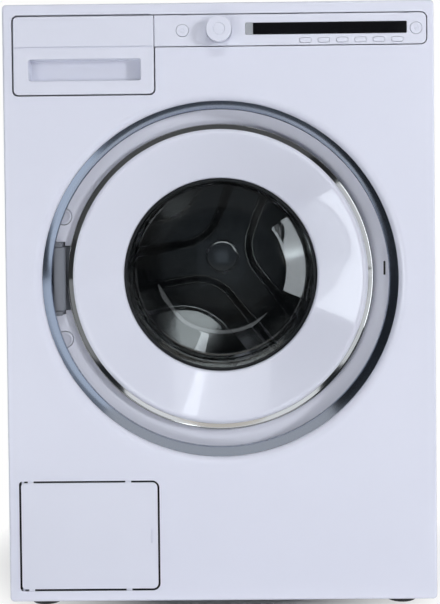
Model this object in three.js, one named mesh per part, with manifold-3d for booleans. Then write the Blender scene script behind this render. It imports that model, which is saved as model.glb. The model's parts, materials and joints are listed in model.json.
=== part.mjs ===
// Front-loading washing machine with a round door, a dispenser drawer, a control fascia and a service flap.
// Millimetres, +X to the viewer's right, +Y to the back, +Z up. The feet stand on z = 0.

import * as THREE from 'three';
import { mergeVertices } from 'three/addons/utils/BufferGeometryUtils.js';
import Module from 'manifold-3d';

const wasm = await Module();
wasm.setup();

// Cabinet sizes
const cabinetWidth = 595;
const footHeight = 20;
const sheet = 1.5;
const panelFlange = 24;
const panelEdgeRadius = 4;
const panelCornerRadius = 6;
const boardThickness = 16;
const returnFlange = 24;
const coverReach = 5;
const coverWidthShare = 0.7;
const coverHeightShares = [1.3, 1];
const coverLap = 18;
const outletRadius = 13;
const outletWall = 3;
const glandRadius = 9;
const outletInset = 70;
const valveRadius = 13;
const valveInset = 75;
const valveBody = 40;
const valveCollar = 6;

// Clearances: seat is between resting pieces, seam is around the pieces that fill a window
const seat = 0.3;
const seam = 1.2;
const overrun = 2;

// Control row, measured from the cabinet's edges
const controlTopMargin = 17;
const drawerLeftMargin = 15.1;
const drawerWidth = 196.3;
const drawerHeight = 110.4;
const drawerToRecess = 9.2;
const fasciaRightMargin = 10.7;
const fasciaHeight = 43;
const fasciaSeam = 0.8;
const drawerCornerRadius = 7;
const fasciaCornerRadius = 8;

// Service flap, measured from the cabinet's edges
const flapLeftMargin = 13.9;
const flapBottomMargin = 16;
const flapWidth = 195.8;
const flapHeight = 152;
const flapToRecess = 33;
const flapSeam = 2.2;
const flapCornerRadius = 7.5;
const flapWall = 2.5;
const flapPinInset = 5.6;
const flapPinDepth = 5;
const flapPinRadius = 1.6;
const flapPinPlay = 0.3;
const flapEarWidth = 5;
const flapEarHeight = 7;
const notchHeight = 19;
const notchWidth = 2.5;
const notchInset = 7;
const notchDepth = 1;
const nubWidth = 8;
const nubDepth = 0.5;
const nubWall = 1;
const nubShares = [0.06, 0.575];

// Round recess in the front: side margin, then the widths of the bands inside it
const recessSideMargin = 37.5;
const shoulderWidth = 12.5;
const shoulderDepth = 8;
const ringWidth = 11.2;
const lipDepth = 20;
const ringWall = 3;
const ringCollarDepth = 11;
const doorGap = 18.3;
const chromeWidth = 8.9;
const dishWidth = 66;

// Door sizes, as depths behind the front plane
const doorInset = 38.5;
const chromeDepth = 8.5;
const dishDepth = 32;
const doorWall = 2.8;
const portCollar = 5;
const glassWall = 4.5;
const glassDepth = 86;
const glassFlange = 17;
const glassTaper = 32;
const innerFrameInset = 12.5;
const innerFrameDepth = 38;
const clampWall = 3.5;
const dishShares = [0.36, 0.7];
const bowlFlatShare = 0.6;
const bowlFootShare = 0.88;
const bowlFootDepthShare = 0.95;
const bowlSideShare = 0.08;
const bowlSideDepthShare = 0.8;
const ribStart = THREE.MathUtils.degToRad(16);
const ribEnd = THREE.MathUtils.degToRad(76);
const ribWidth = 5;
const ribProud = 2;
const ribInset = 7.5;

// Surround behind the door
const surroundWall = 2.5;
const mouthInset = 17.7;
const floorGap = 5;
const floorRise = 15;
const collarLength = 20;
const capRadius = 11.5;
const capAngle = THREE.MathUtils.degToRad(21.5);
const capProud = 1.5;
const slotWidth = 3;
const slotHeight = 20;
const slotRise = 10;
const pocketReach = 17;

// Hinge on the left and catch on the right
const hingeOffset = 11.3;
const hingeInset = 33;
const pinRadius = 3;
const knuckleRadius = 6;
const armHalfHeight = 45;
const armWall = 4;
const earThickness = 6;
const bracketWall = 3;
const hookThickness = 4.5;
const hookHalfHeight = 9;
const hookReach = 26;
const lockWidth = 40;
const lockHalfHeight = 38;
const hookPlay = 3;

// Tub, drum and suspension
const suspensionDown = 10;
const suspensionUp = 8;
const tubHeadroom = 12.5;
const tubWall = 4;
const tubClearance = 12;
const drumWall = 1.5;
const drumLength = 320;
const drumMouthInset = 68;
const sealWidth = 18;
const sealGap = 2.5;
const sealWall = 4;
const sealInset = 9;
const sealLip = 3;
const tubMouthMargin = 6;
const tubRounding = 12;
const bearingSpace = 6;
const tubEndGap = 16;
const hubRadius = 36;
const hubLength = 50;
const tubRibCount = 8;
const tubRibDepth = 8;
const weightStart = THREE.MathUtils.degToRad(-28);
const weightEnd = THREE.MathUtils.degToRad(208);
const shaftRadius = 15;
const bearingLength = 22;
const pulleyRadius = 140;
const pulleyWidth = 16;
const pulleySpokes = 6;
const rimWall = 4;
const beltThickness = 4;
const beltGap = 0.6;
const motorRadius = 68;
const motorLength = 165;
const motorGap = 8;
const motorPlaceShare = 0.55;
const motorPulleyRadius = 11;
const motorShaftRadius = 6;
const boreDepth = 14;
const lugWidth = 86;
const lugLength = 20;
const rearSpace = 42.6;
const drumRounding = 12;
const liftersCount = 3;
const lifterMargin = 12;
const lifterHeight = 46;
const lifterWidth = 74;
const hubCapRadius = 28;
const hubCapRise = 9;
const hubInnerShare = 0.5;
const hubInnerRiseShare = 0.9;
const hubOuterShare = 0.85;
const hubOuterRiseShare = 0.5;
const starArms = 3;
const starRelief = 12;
const pocketPlaceShare = 0.71;
const pocketRadiusShare = 0.5;
const starTurn = THREE.MathUtils.degToRad(72);

// Dampers, as lengths along the rod and shares of the tub's radius
const damperPlaceShare = 0.64;
const damperRadius = 15;
const damperRod = 7;
const damperPlay = 0.5;
const damperLength = 130;
const damperBoreShare = 0.75;
const damperOverlap = 66;
const damperInset = 72;

// Feet and base pan
const footPadRadius = 22;
const stemRadius = 5;
const stemLength = 26;
const panThickness = 2;
const panWall = 18;
const footInset = 42;
const bossWall = 5;
const bossHeight = 18;

// Control fascia: the power button, knob and lens are placed from its left end, the rest from its right end
const fasciaWall = 2.5;
const fasciaDepth = 14;
const fasciaRounding = 1;
const powerInset = 36.9;
const powerRadius = 8.4;
const knobInset = 87;
const startInset = 14.2;
const startRadius = 8;
const lensLeftInset = 123.7;
const lensRightInset = 26.9;
const lensHeight = 16.2;
const lensWall = 2.5;
const lensCornerRadius = 1.5;
const optionFirstShare = 0.372;
const optionPitchShare = 0.1138;
const optionWidthShare = 0.635;
const optionHeight = 6.4;
const optionDrop = 15;
const ovalShare = 0.98;
const knobShaft = 4;
const knobDishShare = 0.42;
const knobRimShare = 0.45;
const knobCrownShare = 0.94;
const knobTopShare = 0.98;
const knobEdge = 1.5;
const knobDish = 1.5;
const knobReach = 20;
const knobRadius = 17.5;
const buttonProud = 0.8;
const buttonDepth = 9;
const buttonPlay = 0.4;
const optionCount = 6;

// Drawer, tray and housing
const drawerFrontDepth = 24;
const drawerFrontWall = 3;
const drawerRounding = 1.5;
const grooveWidth = 1.4;
const grooveDepth = 1;
const handleLeft = 21.3;
const handleWidth = 154.4;
const handleLow = 21.6;
const handleHeight = 29.5;
const handleDepth = 18;
const handleRadius = 3;
const slitHeight = 7;
const trayLength = 262;
const trayWall = 2;
const trayHeight = 58;
const trayInset = 7;
const trayShares = [0.32, 0.68];
const housingReach = 20;
const housingWall = 2;
const housingDrop = 1.2;

// Drain pump and filter cap
const chamberRadius = 30;
const chamberWall = 4;
const chamberDepth = 96;
const pumpPlateDepth = 19;
const pumpPlateLap = 8;
const pumpBodyLength = 26;
const pumpMotorRadius = 22;
const pumpMotorLength = 62;
const capWall = 6;
const plugShare = 0.7;
const gripWidth = 10;
const gripProud = 6;

// How finely round shapes are cut into facets
const bigSteps = 48;
const innerSteps = 36;
const midSteps = 24;
const smallSteps = 12;
const cornerSteps = 3;
const bevelSteps = 2;
const crownSteps = 5;
const rollSteps = 3;
const hexSides = 6;
const weldTolerance = 1e-4;

// Places across the front, worked out from the sizes above
const halfWidth = cabinetWidth / 2;
const shoulderRadius = halfWidth - recessSideMargin;
const recessRadius = shoulderRadius - shoulderWidth;
const lipRadius = recessRadius - seat - ringWidth;
const chromeOuter = lipRadius - doorGap;
const chromeInner = chromeOuter - chromeWidth;
const dishOuter = chromeInner - seat;
const portRadius = dishOuter - dishWidth;
const mouthRadius = chromeOuter - mouthInset;
const flapLeft = -halfWidth + flapLeftMargin;
const flapRight = flapLeft + flapWidth;
const flapBottom = footHeight + flapBottomMargin;
const flapTop = flapBottom + flapHeight;
const axisHeight = flapTop + Math.sqrt((shoulderRadius + flapToRecess) ** 2 - flapRight ** 2);
const drawerLeft = -halfWidth + drawerLeftMargin;
const drawerRight = drawerLeft + drawerWidth;
const drawerBottom = axisHeight + Math.sqrt((shoulderRadius + drawerToRecess) ** 2 - drawerRight ** 2);
const drawerTop = drawerBottom + drawerHeight;
const cabinetHeight = drawerTop + controlTopMargin;
const fasciaLeft = drawerRight + fasciaSeam;
const fasciaRight = halfWidth - fasciaRightMargin;
const fasciaBottom = drawerTop - fasciaHeight;
const fasciaMiddle = (drawerTop + fasciaBottom) / 2;
const powerX = fasciaLeft + powerInset;
const knobX = fasciaLeft + knobInset;
const startX = fasciaRight - startInset;
const lensLeft = fasciaLeft + lensLeftInset;
const lensRight = fasciaRight - lensRightInset;
const optionPitch = (lensRight - lensLeft) * optionPitchShare;
const optionFirst = lensLeft + (lensRight - lensLeft) * optionFirstShare;
const optionWidth = optionPitch * optionWidthShare;

// Depths behind the front plane
const chromeRear = doorInset + chromeDepth;
const dishFront = doorInset + chromeDepth / 2;
const portDepth = dishFront + dishDepth;
const rimRear = chromeRear + seat + doorWall;
const floorInner = rimRear + floorGap;
const floorOuter = floorInner - floorRise;
const collarRear = floorInner + collarLength;
const glassFront = portDepth + portCollar + seat;
const frameRear = rimRear + innerFrameDepth;
const tubFront = frameRear + sealGap + sealWidth / 2 + seat;
const drumFront = tubFront + tubWall + drumWall + tubClearance / 2;
const drumRear = drumFront + drumLength;
const tubRear = drumRear + tubEndGap;
const hubRear = tubRear + hubLength;
const pulleyFront = hubRear + sealGap;
const pulleyRear = pulleyFront + pulleyWidth;
const rearWall = pulleyRear + rearSpace;
const cabinetDepth = rearWall + sheet + coverReach;
const frontY = knobReach - (cabinetDepth + knobReach) / 2;

// Radii inside the cabinet: the tub just clears the drawer's housing when it swings up
const housingBottom = drawerBottom + housingDrop;
const tubOuter = Math.hypot(drawerRight, housingBottom - axisHeight) - suspensionUp - tubHeadroom;
const drumRadius = tubOuter - tubWall - tubClearance;
const hingeX = -(chromeOuter + hingeOffset);
const panBottom = footHeight + sheet + seat;
const panTop = panBottom + panThickness;
const motorDrop = tubOuter + motorGap + motorRadius;

// A closed three.js geometry as a solid that faces out
function solid(geometry) {
  const bare = geometry.clone();
  bare.deleteAttribute('normal');
  bare.deleteAttribute('uv');
  const welded = mergeVertices(bare, weldTolerance);
  const place = (index) => new THREE.Vector3().fromBufferAttribute(welded.attributes.position, index);
  const triangles = [];
  let volume = 0;
  for (let i = 0; i < welded.index.count; i += 3) {
    const [a, b, c] = [0, 1, 2].map((corner) => welded.index.getX(i + corner));
    if (a === b || b === c || c === a) continue;
    triangles.push([a, b, c]);
    volume += place(a).dot(place(b).cross(place(c)));
  }
  const facing = volume < 0 ? triangles.map(([a, b, c]) => [a, c, b]) : triangles;
  return new wasm.Manifold(new wasm.Mesh({
    numProp: 3,
    vertProperties: new Float32Array(welded.attributes.position.array),
    triVerts: new Uint32Array(facing.flat()),
  }));
}

const asSolid = (item) => (item.isBufferGeometry ? solid(item) : item);
const join = (...items) => items.map(asSolid).reduce((whole, item) => whole.add(item));
const cut = (base, ...tools) => tools.map(asSolid).reduce((rest, tool) => rest.subtract(tool), asSolid(base));
const meet = (first, second) => asSolid(first).intersect(asSolid(second));

// A solid back as a three.js geometry
function geometryOf(item) {
  const mesh = asSolid(item).getMesh();
  const geometry = new THREE.BufferGeometry();
  geometry.setAttribute('position', new THREE.BufferAttribute(new Float32Array(mesh.vertProperties), 3));
  geometry.setIndex(new THREE.BufferAttribute(new Uint32Array(mesh.triVerts), 1));
  geometry.computeVertexNormals();
  return geometry;
}

// A box from its lowest and highest coordinates
function block(left, right, near, far, low, high) {
  const box = new THREE.BoxGeometry(right - left, far - near, high - low);
  return box.translate((left + right) / 2, (near + far) / 2, (low + high) / 2);
}

// Round rods along Y, Z and X
function rodY(radius, near, far, x = 0, z = 0, steps = midSteps) {
  return new THREE.CylinderGeometry(radius, radius, far - near, steps).translate(x, (near + far) / 2, z);
}

function rodZ(radius, low, high, x = 0, y = 0, steps = smallSteps) {
  const rod = new THREE.CylinderGeometry(radius, radius, high - low, steps).rotateX(Math.PI / 2);
  return rod.translate(x, y, (low + high) / 2);
}

function rodX(radius, left, right, y, z, steps = midSteps) {
  const rod = new THREE.CylinderGeometry(radius, radius, right - left, steps).rotateZ(Math.PI / 2);
  return rod.translate((left + right) / 2, y, z);
}

// A profile of [radius, depth] points, closed on itself and turned about Y
function turned(profile, steps = bigSteps) {
  const points = [...profile, profile[0]].map(([radius, depth]) => new THREE.Vector2(radius, depth));
  return new THREE.LatheGeometry(points, steps);
}

// A path moved sideways to its left by an even distance
function beside(path, distance) {
  return path.map((point, i) => {
    const legs = [[path[i - 1], point], [point, path[i + 1]]].filter(([from, to]) => from && to);
    const normals = legs.map(([from, to]) => {
      const length = Math.hypot(to[0] - from[0], to[1] - from[1]);
      return [(from[1] - to[1]) / length, (to[0] - from[0]) / length];
    });
    const sum = [0, 1].map((axis) => normals.reduce((total, normal) => total + normal[axis], 0));
    const reach = distance * normals.length / (sum[0] ** 2 + sum[1] ** 2);
    return [point[0] + sum[0] * reach, point[1] + sum[1] * reach];
  });
}

// A closed wall of even thickness on the left of a path, and all that a path holds round the axis
const walled = (path, wall) => [...path, ...beside(path, wall).reverse()];
const filled = (path) => [[0, path[0][1]], ...path, [0, path[path.length - 1][1]]];

// A closed outline with a radius at each corner, from [x, z, radius] corners
function outline(corners) {
  const shape = new THREE.Shape();
  corners.forEach(([x, z, radius], i) => {
    const corner = new THREE.Vector2(x, z);
    const [before, after] = [-1, 1].map((step) => {
      const [nextX, nextZ] = corners[(i + step + corners.length) % corners.length];
      return new THREE.Vector2(nextX, nextZ).sub(corner).normalize();
    });
    const half = before.angleTo(after) / 2;
    if (!radius) {
      if (i) shape.lineTo(x, z);
      else shape.moveTo(x, z);
      return;
    }
    const start = corner.clone().addScaledVector(before, radius / Math.tan(half));
    const end = corner.clone().addScaledVector(after, radius / Math.tan(half));
    const middle = before.clone().add(after).normalize().multiplyScalar(radius / Math.sin(half)).add(corner);
    if (i) shape.lineTo(start.x, start.y);
    else shape.moveTo(start.x, start.y);
    const angles = [start, end].map((point) => point.clone().sub(middle).angle());
    shape.absarc(middle.x, middle.y, radius, angles[0], angles[1], before.cross(after) > 0);
  });
  shape.closePath();
  return shape;
}

const rectangle = (left, right, low, high, radius = 0) => outline([
  [left, low, radius], [right, low, radius], [right, high, radius], [left, high, radius],
]);

// The same rectangle with its sides and corner radius moved in, or out where the inset is negative
const inset = ([left, right, low, high, radius], by) => rectangle(
  left + by, right - by, low + by, high - by, radius - by,
);

// Outlines pushed along Y from one depth to another, with a rounded front edge where asked
const standing = new THREE.Matrix4().makeBasis(
  new THREE.Vector3(1, 0, 0), new THREE.Vector3(0, 0, 1), new THREE.Vector3(0, -1, 0),
);

function plate(shape, near, far, rounding = 0, steps = cornerSteps) {
  const pushed = new THREE.ExtrudeGeometry(shape, {
    depth: far - near,
    curveSegments: steps,
    bevelEnabled: rounding > 0,
    bevelThickness: rounding,
    bevelSize: rounding,
    bevelOffset: -rounding,
    bevelSegments: bevelSteps,
  }).applyMatrix4(standing).translate(0, far + rounding, 0);
  if (!rounding) return pushed;
  pushed.computeBoundingBox();
  const { min, max } = pushed.boundingBox.expandByScalar(rounding);
  return cut(pushed, block(min.x, max.x, far, max.y, min.z, max.z));
}

// An outline of [x, depth] points pushed up from one height to another
function column(points, low, high) {
  const shape = new THREE.Shape(points.map(([x, y]) => new THREE.Vector2(x, y)));
  return new THREE.ExtrudeGeometry(shape, { depth: high - low, bevelEnabled: false }).translate(0, 0, low);
}

// Colours of the photographed finishes, and one material for each mesh
const finishes = {
  paint: { color: 0xe4e6ee, roughness: 0.35, metalness: 0 },
  plastic: { color: 0xe0e2ec, roughness: 0.3, metalness: 0 },
  gloss: { color: 0xe6e8f0, roughness: 0.1, metalness: 0 },
  trim: { color: 0x8d949f, roughness: 0.25, metalness: 0.5 },
  chrome: { color: 0xc9ccd0, roughness: 0.12, metalness: 1 },
  steel: { color: 0xb9bcc0, roughness: 0.3, metalness: 1 },
  dark: { color: 0x303236, roughness: 0.5, metalness: 0 },
  grey: { color: 0x8a8d92, roughness: 0.6, metalness: 0 },
  glass: { color: 0x2a2e33, roughness: 0.05, metalness: 0 },
  lens: { color: 0x111114, roughness: 0.08, metalness: 0 },
  rubber: { color: 0x3c3e42, roughness: 0.8, metalness: 0 },
  stone: { color: 0x9b9a96, roughness: 0.9, metalness: 0 },
  cast: { color: 0x6f7378, roughness: 0.5, metalness: 0.8 },
};

function piece(name, finish, item, place = [0, 0, 0]) {
  const mesh = new THREE.Mesh(geometryOf(item), new THREE.MeshStandardMaterial(finishes[finish]));
  mesh.name = name;
  mesh.position.set(...place);
  return mesh;
}

// Soft shoulder that rolls from the flat front into the recess
const rollRadius = (shoulderWidth ** 2 + shoulderDepth ** 2) / (2 * shoulderDepth);
const rollAngle = Math.asin(shoulderWidth / rollRadius);

function shoulder(radius) {
  return Array.from({ length: rollSteps + 1 }, (_, step) => {
    const angle = rollAngle * step / rollSteps;
    return [shoulderRadius - radius * Math.sin(angle), rollRadius - radius * Math.cos(angle)];
  });
}

function shoulderBacking() {
  const back = shoulder(rollRadius - sheet);
  const innermost = recessRadius - overrun;
  return turned([
    [innermost, sheet / 2],
    [shoulderRadius, sheet / 2],
    ...back,
    [innermost, back[rollSteps][1]],
  ]);
}

function recessCutter() {
  return turned([
    [0, -overrun],
    [shoulderRadius, -overrun],
    ...shoulder(rollRadius),
    [recessRadius, panelFlange],
    [0, panelFlange],
  ]);
}

// Window for the drawer and the fascia
function controlWindow() {
  const [left, right, top] = [drawerLeft - seam, fasciaRight + seam, drawerTop + seam];
  const step = fasciaLeft - fasciaSeam + seam;
  return plate(outline([
    [left, drawerBottom - seam, drawerCornerRadius + seam],
    [step, drawerBottom - seam, drawerCornerRadius + seam],
    [step, fasciaBottom - seam, 0],
    [right, fasciaBottom - seam, fasciaCornerRadius + seam],
    [right, top, fasciaCornerRadius + seam],
    [left, top, drawerCornerRadius + seam],
  ]), -overrun, panelFlange);
}

// Pivots of the service flap: its pins turn in two ears behind the panel
const flapPinX = flapLeft + flapPinInset;
const flapEdges = [flapLeft, flapRight, flapBottom, flapTop, flapCornerRadius];

function flapEar(low, high) {
  const [left, right, rear] = [flapPinX - flapEarWidth, flapPinX + flapEarWidth, flapPinDepth + flapEarWidth];
  return cut(
    block(left, right, sheet / 2, rear, low, high),
    rodZ(flapPinRadius + flapPinPlay, low - overrun, high + overrun, flapPinX, flapPinDepth),
  );
}

function frontPanel() {
  const edges = [-halfWidth, halfWidth, footHeight, cabinetHeight, panelCornerRadius];
  const shell = cut(
    plate(inset(edges, 0), 0, panelFlange, panelEdgeRadius),
    plate(inset(edges, sheet), sheet, panelFlange + overrun, panelEdgeRadius - sheet),
  );
  const raise = (geometry) => geometry.translate(0, 0, axisHeight);
  const flapWindow = plate(inset(flapEdges, -flapSeam), -overrun, panelFlange);
  const cutOut = cut(
    join(shell, raise(shoulderBacking())), raise(recessCutter()), controlWindow(), flapWindow,
  );
  const earGap = flapSeam + seat;
  return join(
    cutOut,
    flapEar(flapTop + earGap, flapTop + earGap + flapEarHeight),
    flapEar(flapBottom - earGap - flapEarHeight, flapBottom - earGap),
  );
}

// Grey trim ring inside the shoulder, with a collar that meets the surround
const surroundRadius = shoulderRadius + seat;

function recessRing() {
  const outer = recessRadius - seat;
  const collarOuter = surroundRadius - seat;
  return turned([
    [outer, shoulderDepth],
    [lipRadius, lipDepth],
    [lipRadius, lipDepth + ringWall],
    [outer, ringCollarDepth + ringWall],
    [collarOuter, ringCollarDepth + ringWall],
    [collarOuter, ringCollarDepth],
    [outer, ringCollarDepth],
  ]);
}

// Surround: the pale floor round the door, its outer wall and its collar
const surroundPath = [
  [mouthRadius, collarRear],
  [mouthRadius, floorInner],
  [chromeOuter, floorInner - floorRise / 6],
  [lipRadius, floorInner - floorRise / 2],
  [recessRadius + shoulderWidth / 2, floorOuter],
  [surroundRadius, lipDepth + ringWall],
  [surroundRadius, sheet + seat],
];
const capPlace = recessRadius - capRadius + ringWall;
const slotPlace = lipRadius - ringWall;
const pocketHalfHeight = armHalfHeight + earThickness + 2 * seat + sheet;
const hookPlace = mouthRadius + surroundWall + hookThickness;

// Depth of a path at a radius, read along its straight legs
function depthAt(path, radius) {
  const end = path.findIndex(([reach], i) => i > 0 && reach >= radius && reach > path[i - 1][0]);
  const [[nearRadius, nearDepth], [farRadius, farDepth]] = [path[end - 1], path[end]];
  return nearDepth + (farDepth - nearDepth) * (radius - nearRadius) / (farRadius - nearRadius);
}

function surround() {
  const behind = collarRear + overrun;
  const bowl = turned(walled(surroundPath, surroundWall));
  const capDepth = depthAt(surroundPath, capPlace);
  const caps = [-1, 1].map((side) => rodY(
    capRadius, capDepth - capProud - sheet, capDepth + surroundWall,
    -capPlace * Math.cos(capAngle), side * capPlace * Math.sin(capAngle),
  ));
  const slot = block(
    slotPlace - slotWidth / 2, slotPlace + slotWidth / 2, lipDepth, floorInner,
    slotRise - slotHeight / 2, slotRise + slotHeight / 2,
  );
  const pocketRight = overrun - Math.sqrt(mouthRadius ** 2 - pocketHalfHeight ** 2);
  const pocket = block(
    hingeX - pocketReach, pocketRight, lipDepth + ringWall, behind, -pocketHalfHeight, pocketHalfHeight,
  );
  const hookSlot = block(
    mouthRadius + surroundWall + seat, hookPlace + hookThickness + hookPlay, floorOuter, behind,
    -hookHalfHeight - hookPlay, hookHalfHeight + hookPlay,
  );
  return cut(join(bowl, ...caps), slot, pocket, hookSlot);
}

// All that lies in front of the surround's back, to fit pieces against it
const surroundFill = () => turned(filled(beside(surroundPath, surroundWall + seat)));

// Hinge: bracket with ears and pin on the surround, arm with its knuckle on the door
const plateDepth = collarRear - 3 * bracketWall;
const armPath = [
  [hingeX + pinRadius, hingeInset + pinRadius],
  [hingeX + knuckleRadius, rimRear + seat + sheet],
  [-portRadius, rimRear + armWall + seat + sheet],
];
const innerFrameRadius = dishOuter - innerFrameInset;

function hingeBracket() {
  const [left, right] = [hingeX - pocketReach - 2 * bracketWall, -mouthRadius - surroundWall - sheet];
  const reach = pocketHalfHeight + 4 * bracketWall;
  const base = block(left, right, plateDepth, plateDepth + bracketWall, -reach, reach);
  const rear = plateDepth + overrun;
  const pair = (item) => [asSolid(item), asSolid(item).mirror([0, 0, 1])];
  const feet = pair(block(left, right, lipDepth + ringWall, rear, pocketHalfHeight + seat, reach));
  const ears = pair(block(
    hingeX - knuckleRadius, hingeX + knuckleRadius, hingeInset - knuckleRadius, rear,
    armHalfHeight + seat, armHalfHeight + seat + earThickness,
  ));
  const pin = rodZ(pinRadius, -armHalfHeight - overrun, armHalfHeight + overrun, hingeX, hingeInset);
  return join(cut(join(base, ...feet), surroundFill()), ...ears, pin);
}

function hingeArm() {
  const arm = join(
    rodZ(knuckleRadius, -armHalfHeight, armHalfHeight, hingeX, hingeInset),
    column(walled(armPath, armWall), -armHalfHeight, armHalfHeight),
  );
  return cut(
    arm,
    rodZ(pinRadius + seat, -armHalfHeight - overrun, armHalfHeight + overrun, hingeX, hingeInset),
    rodY(innerFrameRadius + seat, doorInset, collarRear, 0, 0, bigSteps),
  );
}

// Door: chrome ring, dished frame with a grip rib, glass bowl, inner frame and hook
const chromeMiddle = (chromeInner + chromeOuter) / 2;

function chromeRing() {
  const radius = chromeWidth / 2;
  const crown = Array.from({ length: crownSteps + 1 }, (_, step) => {
    const angle = Math.PI * step / crownSteps;
    return [chromeMiddle - radius * Math.cos(angle), doorInset + radius - radius * Math.sin(angle)];
  });
  return turned([...crown, [chromeOuter, chromeRear], [chromeInner, chromeRear]]);
}

const framePath = [
  [portRadius, portDepth + portCollar],
  [portRadius, portDepth],
  [portRadius + dishWidth / 3, portDepth - dishDepth * dishShares[0]],
  [portRadius + dishWidth * 2 / 3, portDepth - dishDepth * dishShares[1]],
  [dishOuter - doorWall, dishFront],
  [dishOuter, dishFront],
  [dishOuter, chromeRear + seat],
  [chromeOuter - doorWall / 2, chromeRear + seat],
];

function gripRib() {
  const middle = dishOuter - ribInset;
  const shape = new THREE.Shape();
  const end = (angle) => [middle * Math.cos(angle), middle * Math.sin(angle)];
  shape.absarc(0, 0, middle + ribWidth / 2, ribStart, ribEnd, false);
  shape.absarc(...end(ribEnd), ribWidth / 2, ribEnd, ribEnd + Math.PI, false);
  shape.absarc(0, 0, middle - ribWidth / 2, ribEnd, ribStart, true);
  shape.absarc(...end(ribStart), ribWidth / 2, ribStart + Math.PI, ribStart + 2 * Math.PI, false);
  const crest = dishFront + dishDepth * ribInset / dishWidth - ribProud;
  return plate(shape, crest, crest + ribProud + doorWall, 0, smallSteps);
}

const doorFrame = () => join(turned(walled(framePath, doorWall)), gripRib());

function glassBowl() {
  const foot = portRadius - glassTaper;
  const bottom = glassFront + glassDepth;
  return turned(walled([
    [0, bottom],
    [foot * bowlFlatShare, bottom],
    [foot * bowlFootShare, glassFront + glassDepth * bowlFootDepthShare],
    [foot + glassTaper * bowlSideShare, glassFront + glassDepth * bowlSideDepthShare],
    [portRadius - glassWall, glassFront + glassWall],
    [portRadius + glassFlange, glassFront + glassWall],
  ], -glassWall));
}

function innerFrame() {
  const clampFront = glassFront + glassWall + seat;
  const holdRadius = portRadius + glassFlange + seat;
  const dishBack = (radius) => dishFront + dishDepth * (dishOuter - radius) / dishWidth + 2 * doorWall;
  return turned([
    [innerFrameRadius, dishBack(innerFrameRadius)],
    [innerFrameRadius, frameRear - clampWall * 2],
    [holdRadius + clampWall, frameRear],
    [portRadius + clampWall, frameRear],
    [portRadius + clampWall, clampFront],
    [holdRadius, clampFront],
    [holdRadius, dishBack(holdRadius)],
  ]);
}

function doorHook() {
  const [left, right] = [hookPlace - hookThickness / 2, hookPlace + hookThickness / 2];
  const front = rimRear + seat;
  const rear = rimRear + hookReach;
  return join(
    block(
      innerFrameRadius + sheet, chromeInner + surroundWall, front, front + sheet,
      -hookHalfHeight, hookHalfHeight,
    ),
    block(left, right, front, rear, -hookHalfHeight, hookHalfHeight),
    block(left, right + hookThickness / 3, rear - hookThickness, rear, -hookHalfHeight, hookHalfHeight),
  );
}

function doorLock() {
  const left = mouthRadius + surroundWall + seat;
  const rear = rimRear + hookReach + hookPlay - sheet;
  const body = block(left, left + lockWidth, floorOuter, rear, -lockHalfHeight, lockHalfHeight);
  const throat = block(
    left - overrun, hookPlace + hookThickness + hookPlay, floorOuter - overrun, rear + overrun,
    -hookHalfHeight - hookPlay, hookHalfHeight + hookPlay,
  );
  return cut(body, surroundFill(), throat);
}

// Tub: shell with its hub, seal at the mouth, bearing and front weight
const tubMouth = portRadius + sealWidth + tubMouthMargin;
const tubPath = [
  [tubMouth, tubFront],
  [tubOuter - tubRounding, tubFront],
  [tubOuter, tubFront + tubRounding],
  [tubOuter, tubRear - tubRounding],
  [tubOuter - tubRounding, tubRear],
  [hubRadius + tubRounding, tubRear],
  [hubRadius, tubRear + tubRounding],
  [hubRadius, hubRear],
];

function tubShell() {
  const ribs = Array.from({ length: tubRibCount }, (_, i) => block(
    hubRadius - tubWall / 2, tubOuter - 2 * tubRounding, tubRear - tubWall / 2, tubRear + tubRibDepth,
    -tubWall / 2, tubWall / 2,
  ).rotateY(2 * Math.PI * (i + 0.5) / tubRibCount));
  return join(turned(walled(tubPath, tubWall), innerSteps), ...ribs);
}

function tubSeal() {
  const nose = tubFront - seat - sealWidth / 2;
  const inner = portRadius + sealInset;
  const rear = drumFront - sealGap;
  return turned([
    [inner, nose + seat],
    [inner + sealLip, nose],
    [tubMouth + 2 * sealLip, tubFront - seat - sealWall],
    [tubMouth + 2 * sealLip, tubFront - seat],
    [tubMouth - seat, tubFront - seat],
    [tubMouth - seat, rear],
    [tubMouth - sealWall, rear],
    [tubMouth - sealWall - sealLip, tubFront],
    [inner, nose + sealWall],
  ], innerSteps);
}

const bearing = () => turned([
  [shaftRadius + seat, tubRear + bearingSpace + tubRounding],
  [hubRadius - tubWall - seat, tubRear + bearingSpace + tubRounding],
  [hubRadius - tubWall - seat, tubRear + bearingSpace + tubRounding + bearingLength],
  [shaftRadius + seat, tubRear + bearingSpace + tubRounding + bearingLength],
], innerSteps);


function frontWeight() {
  const inner = mouthRadius + suspensionDown + sealGap;
  const outer = tubOuter - tubRounding - tubWall;
  const shape = new THREE.Shape();
  shape.absarc(0, 0, outer, weightStart, weightEnd, false);
  shape.absarc(0, 0, inner, weightEnd, weightStart, true);
  return plate(shape, collarRear + 2 * sealGap, tubFront - seat, 0, smallSteps);
}

// Drum: shell, back with a three-armed star, lifters, hub cap, shaft and pulley
const drumMouth = drumRadius - drumMouthInset;
const drumInner = drumRadius - drumWall;
const starFront = drumRear - 2 * drumWall - starRelief;

const drumShell = () => turned(walled([
  [drumMouth, drumFront],
  [drumMouth + drumMouthInset / 3, drumFront + drumWall],
  [drumRadius - drumRounding / 3, drumFront + drumRounding],
  [drumRadius, drumFront + drumRounding * 3 / 2],
  [drumRadius, drumRear],
], drumWall), innerSteps);


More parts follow.
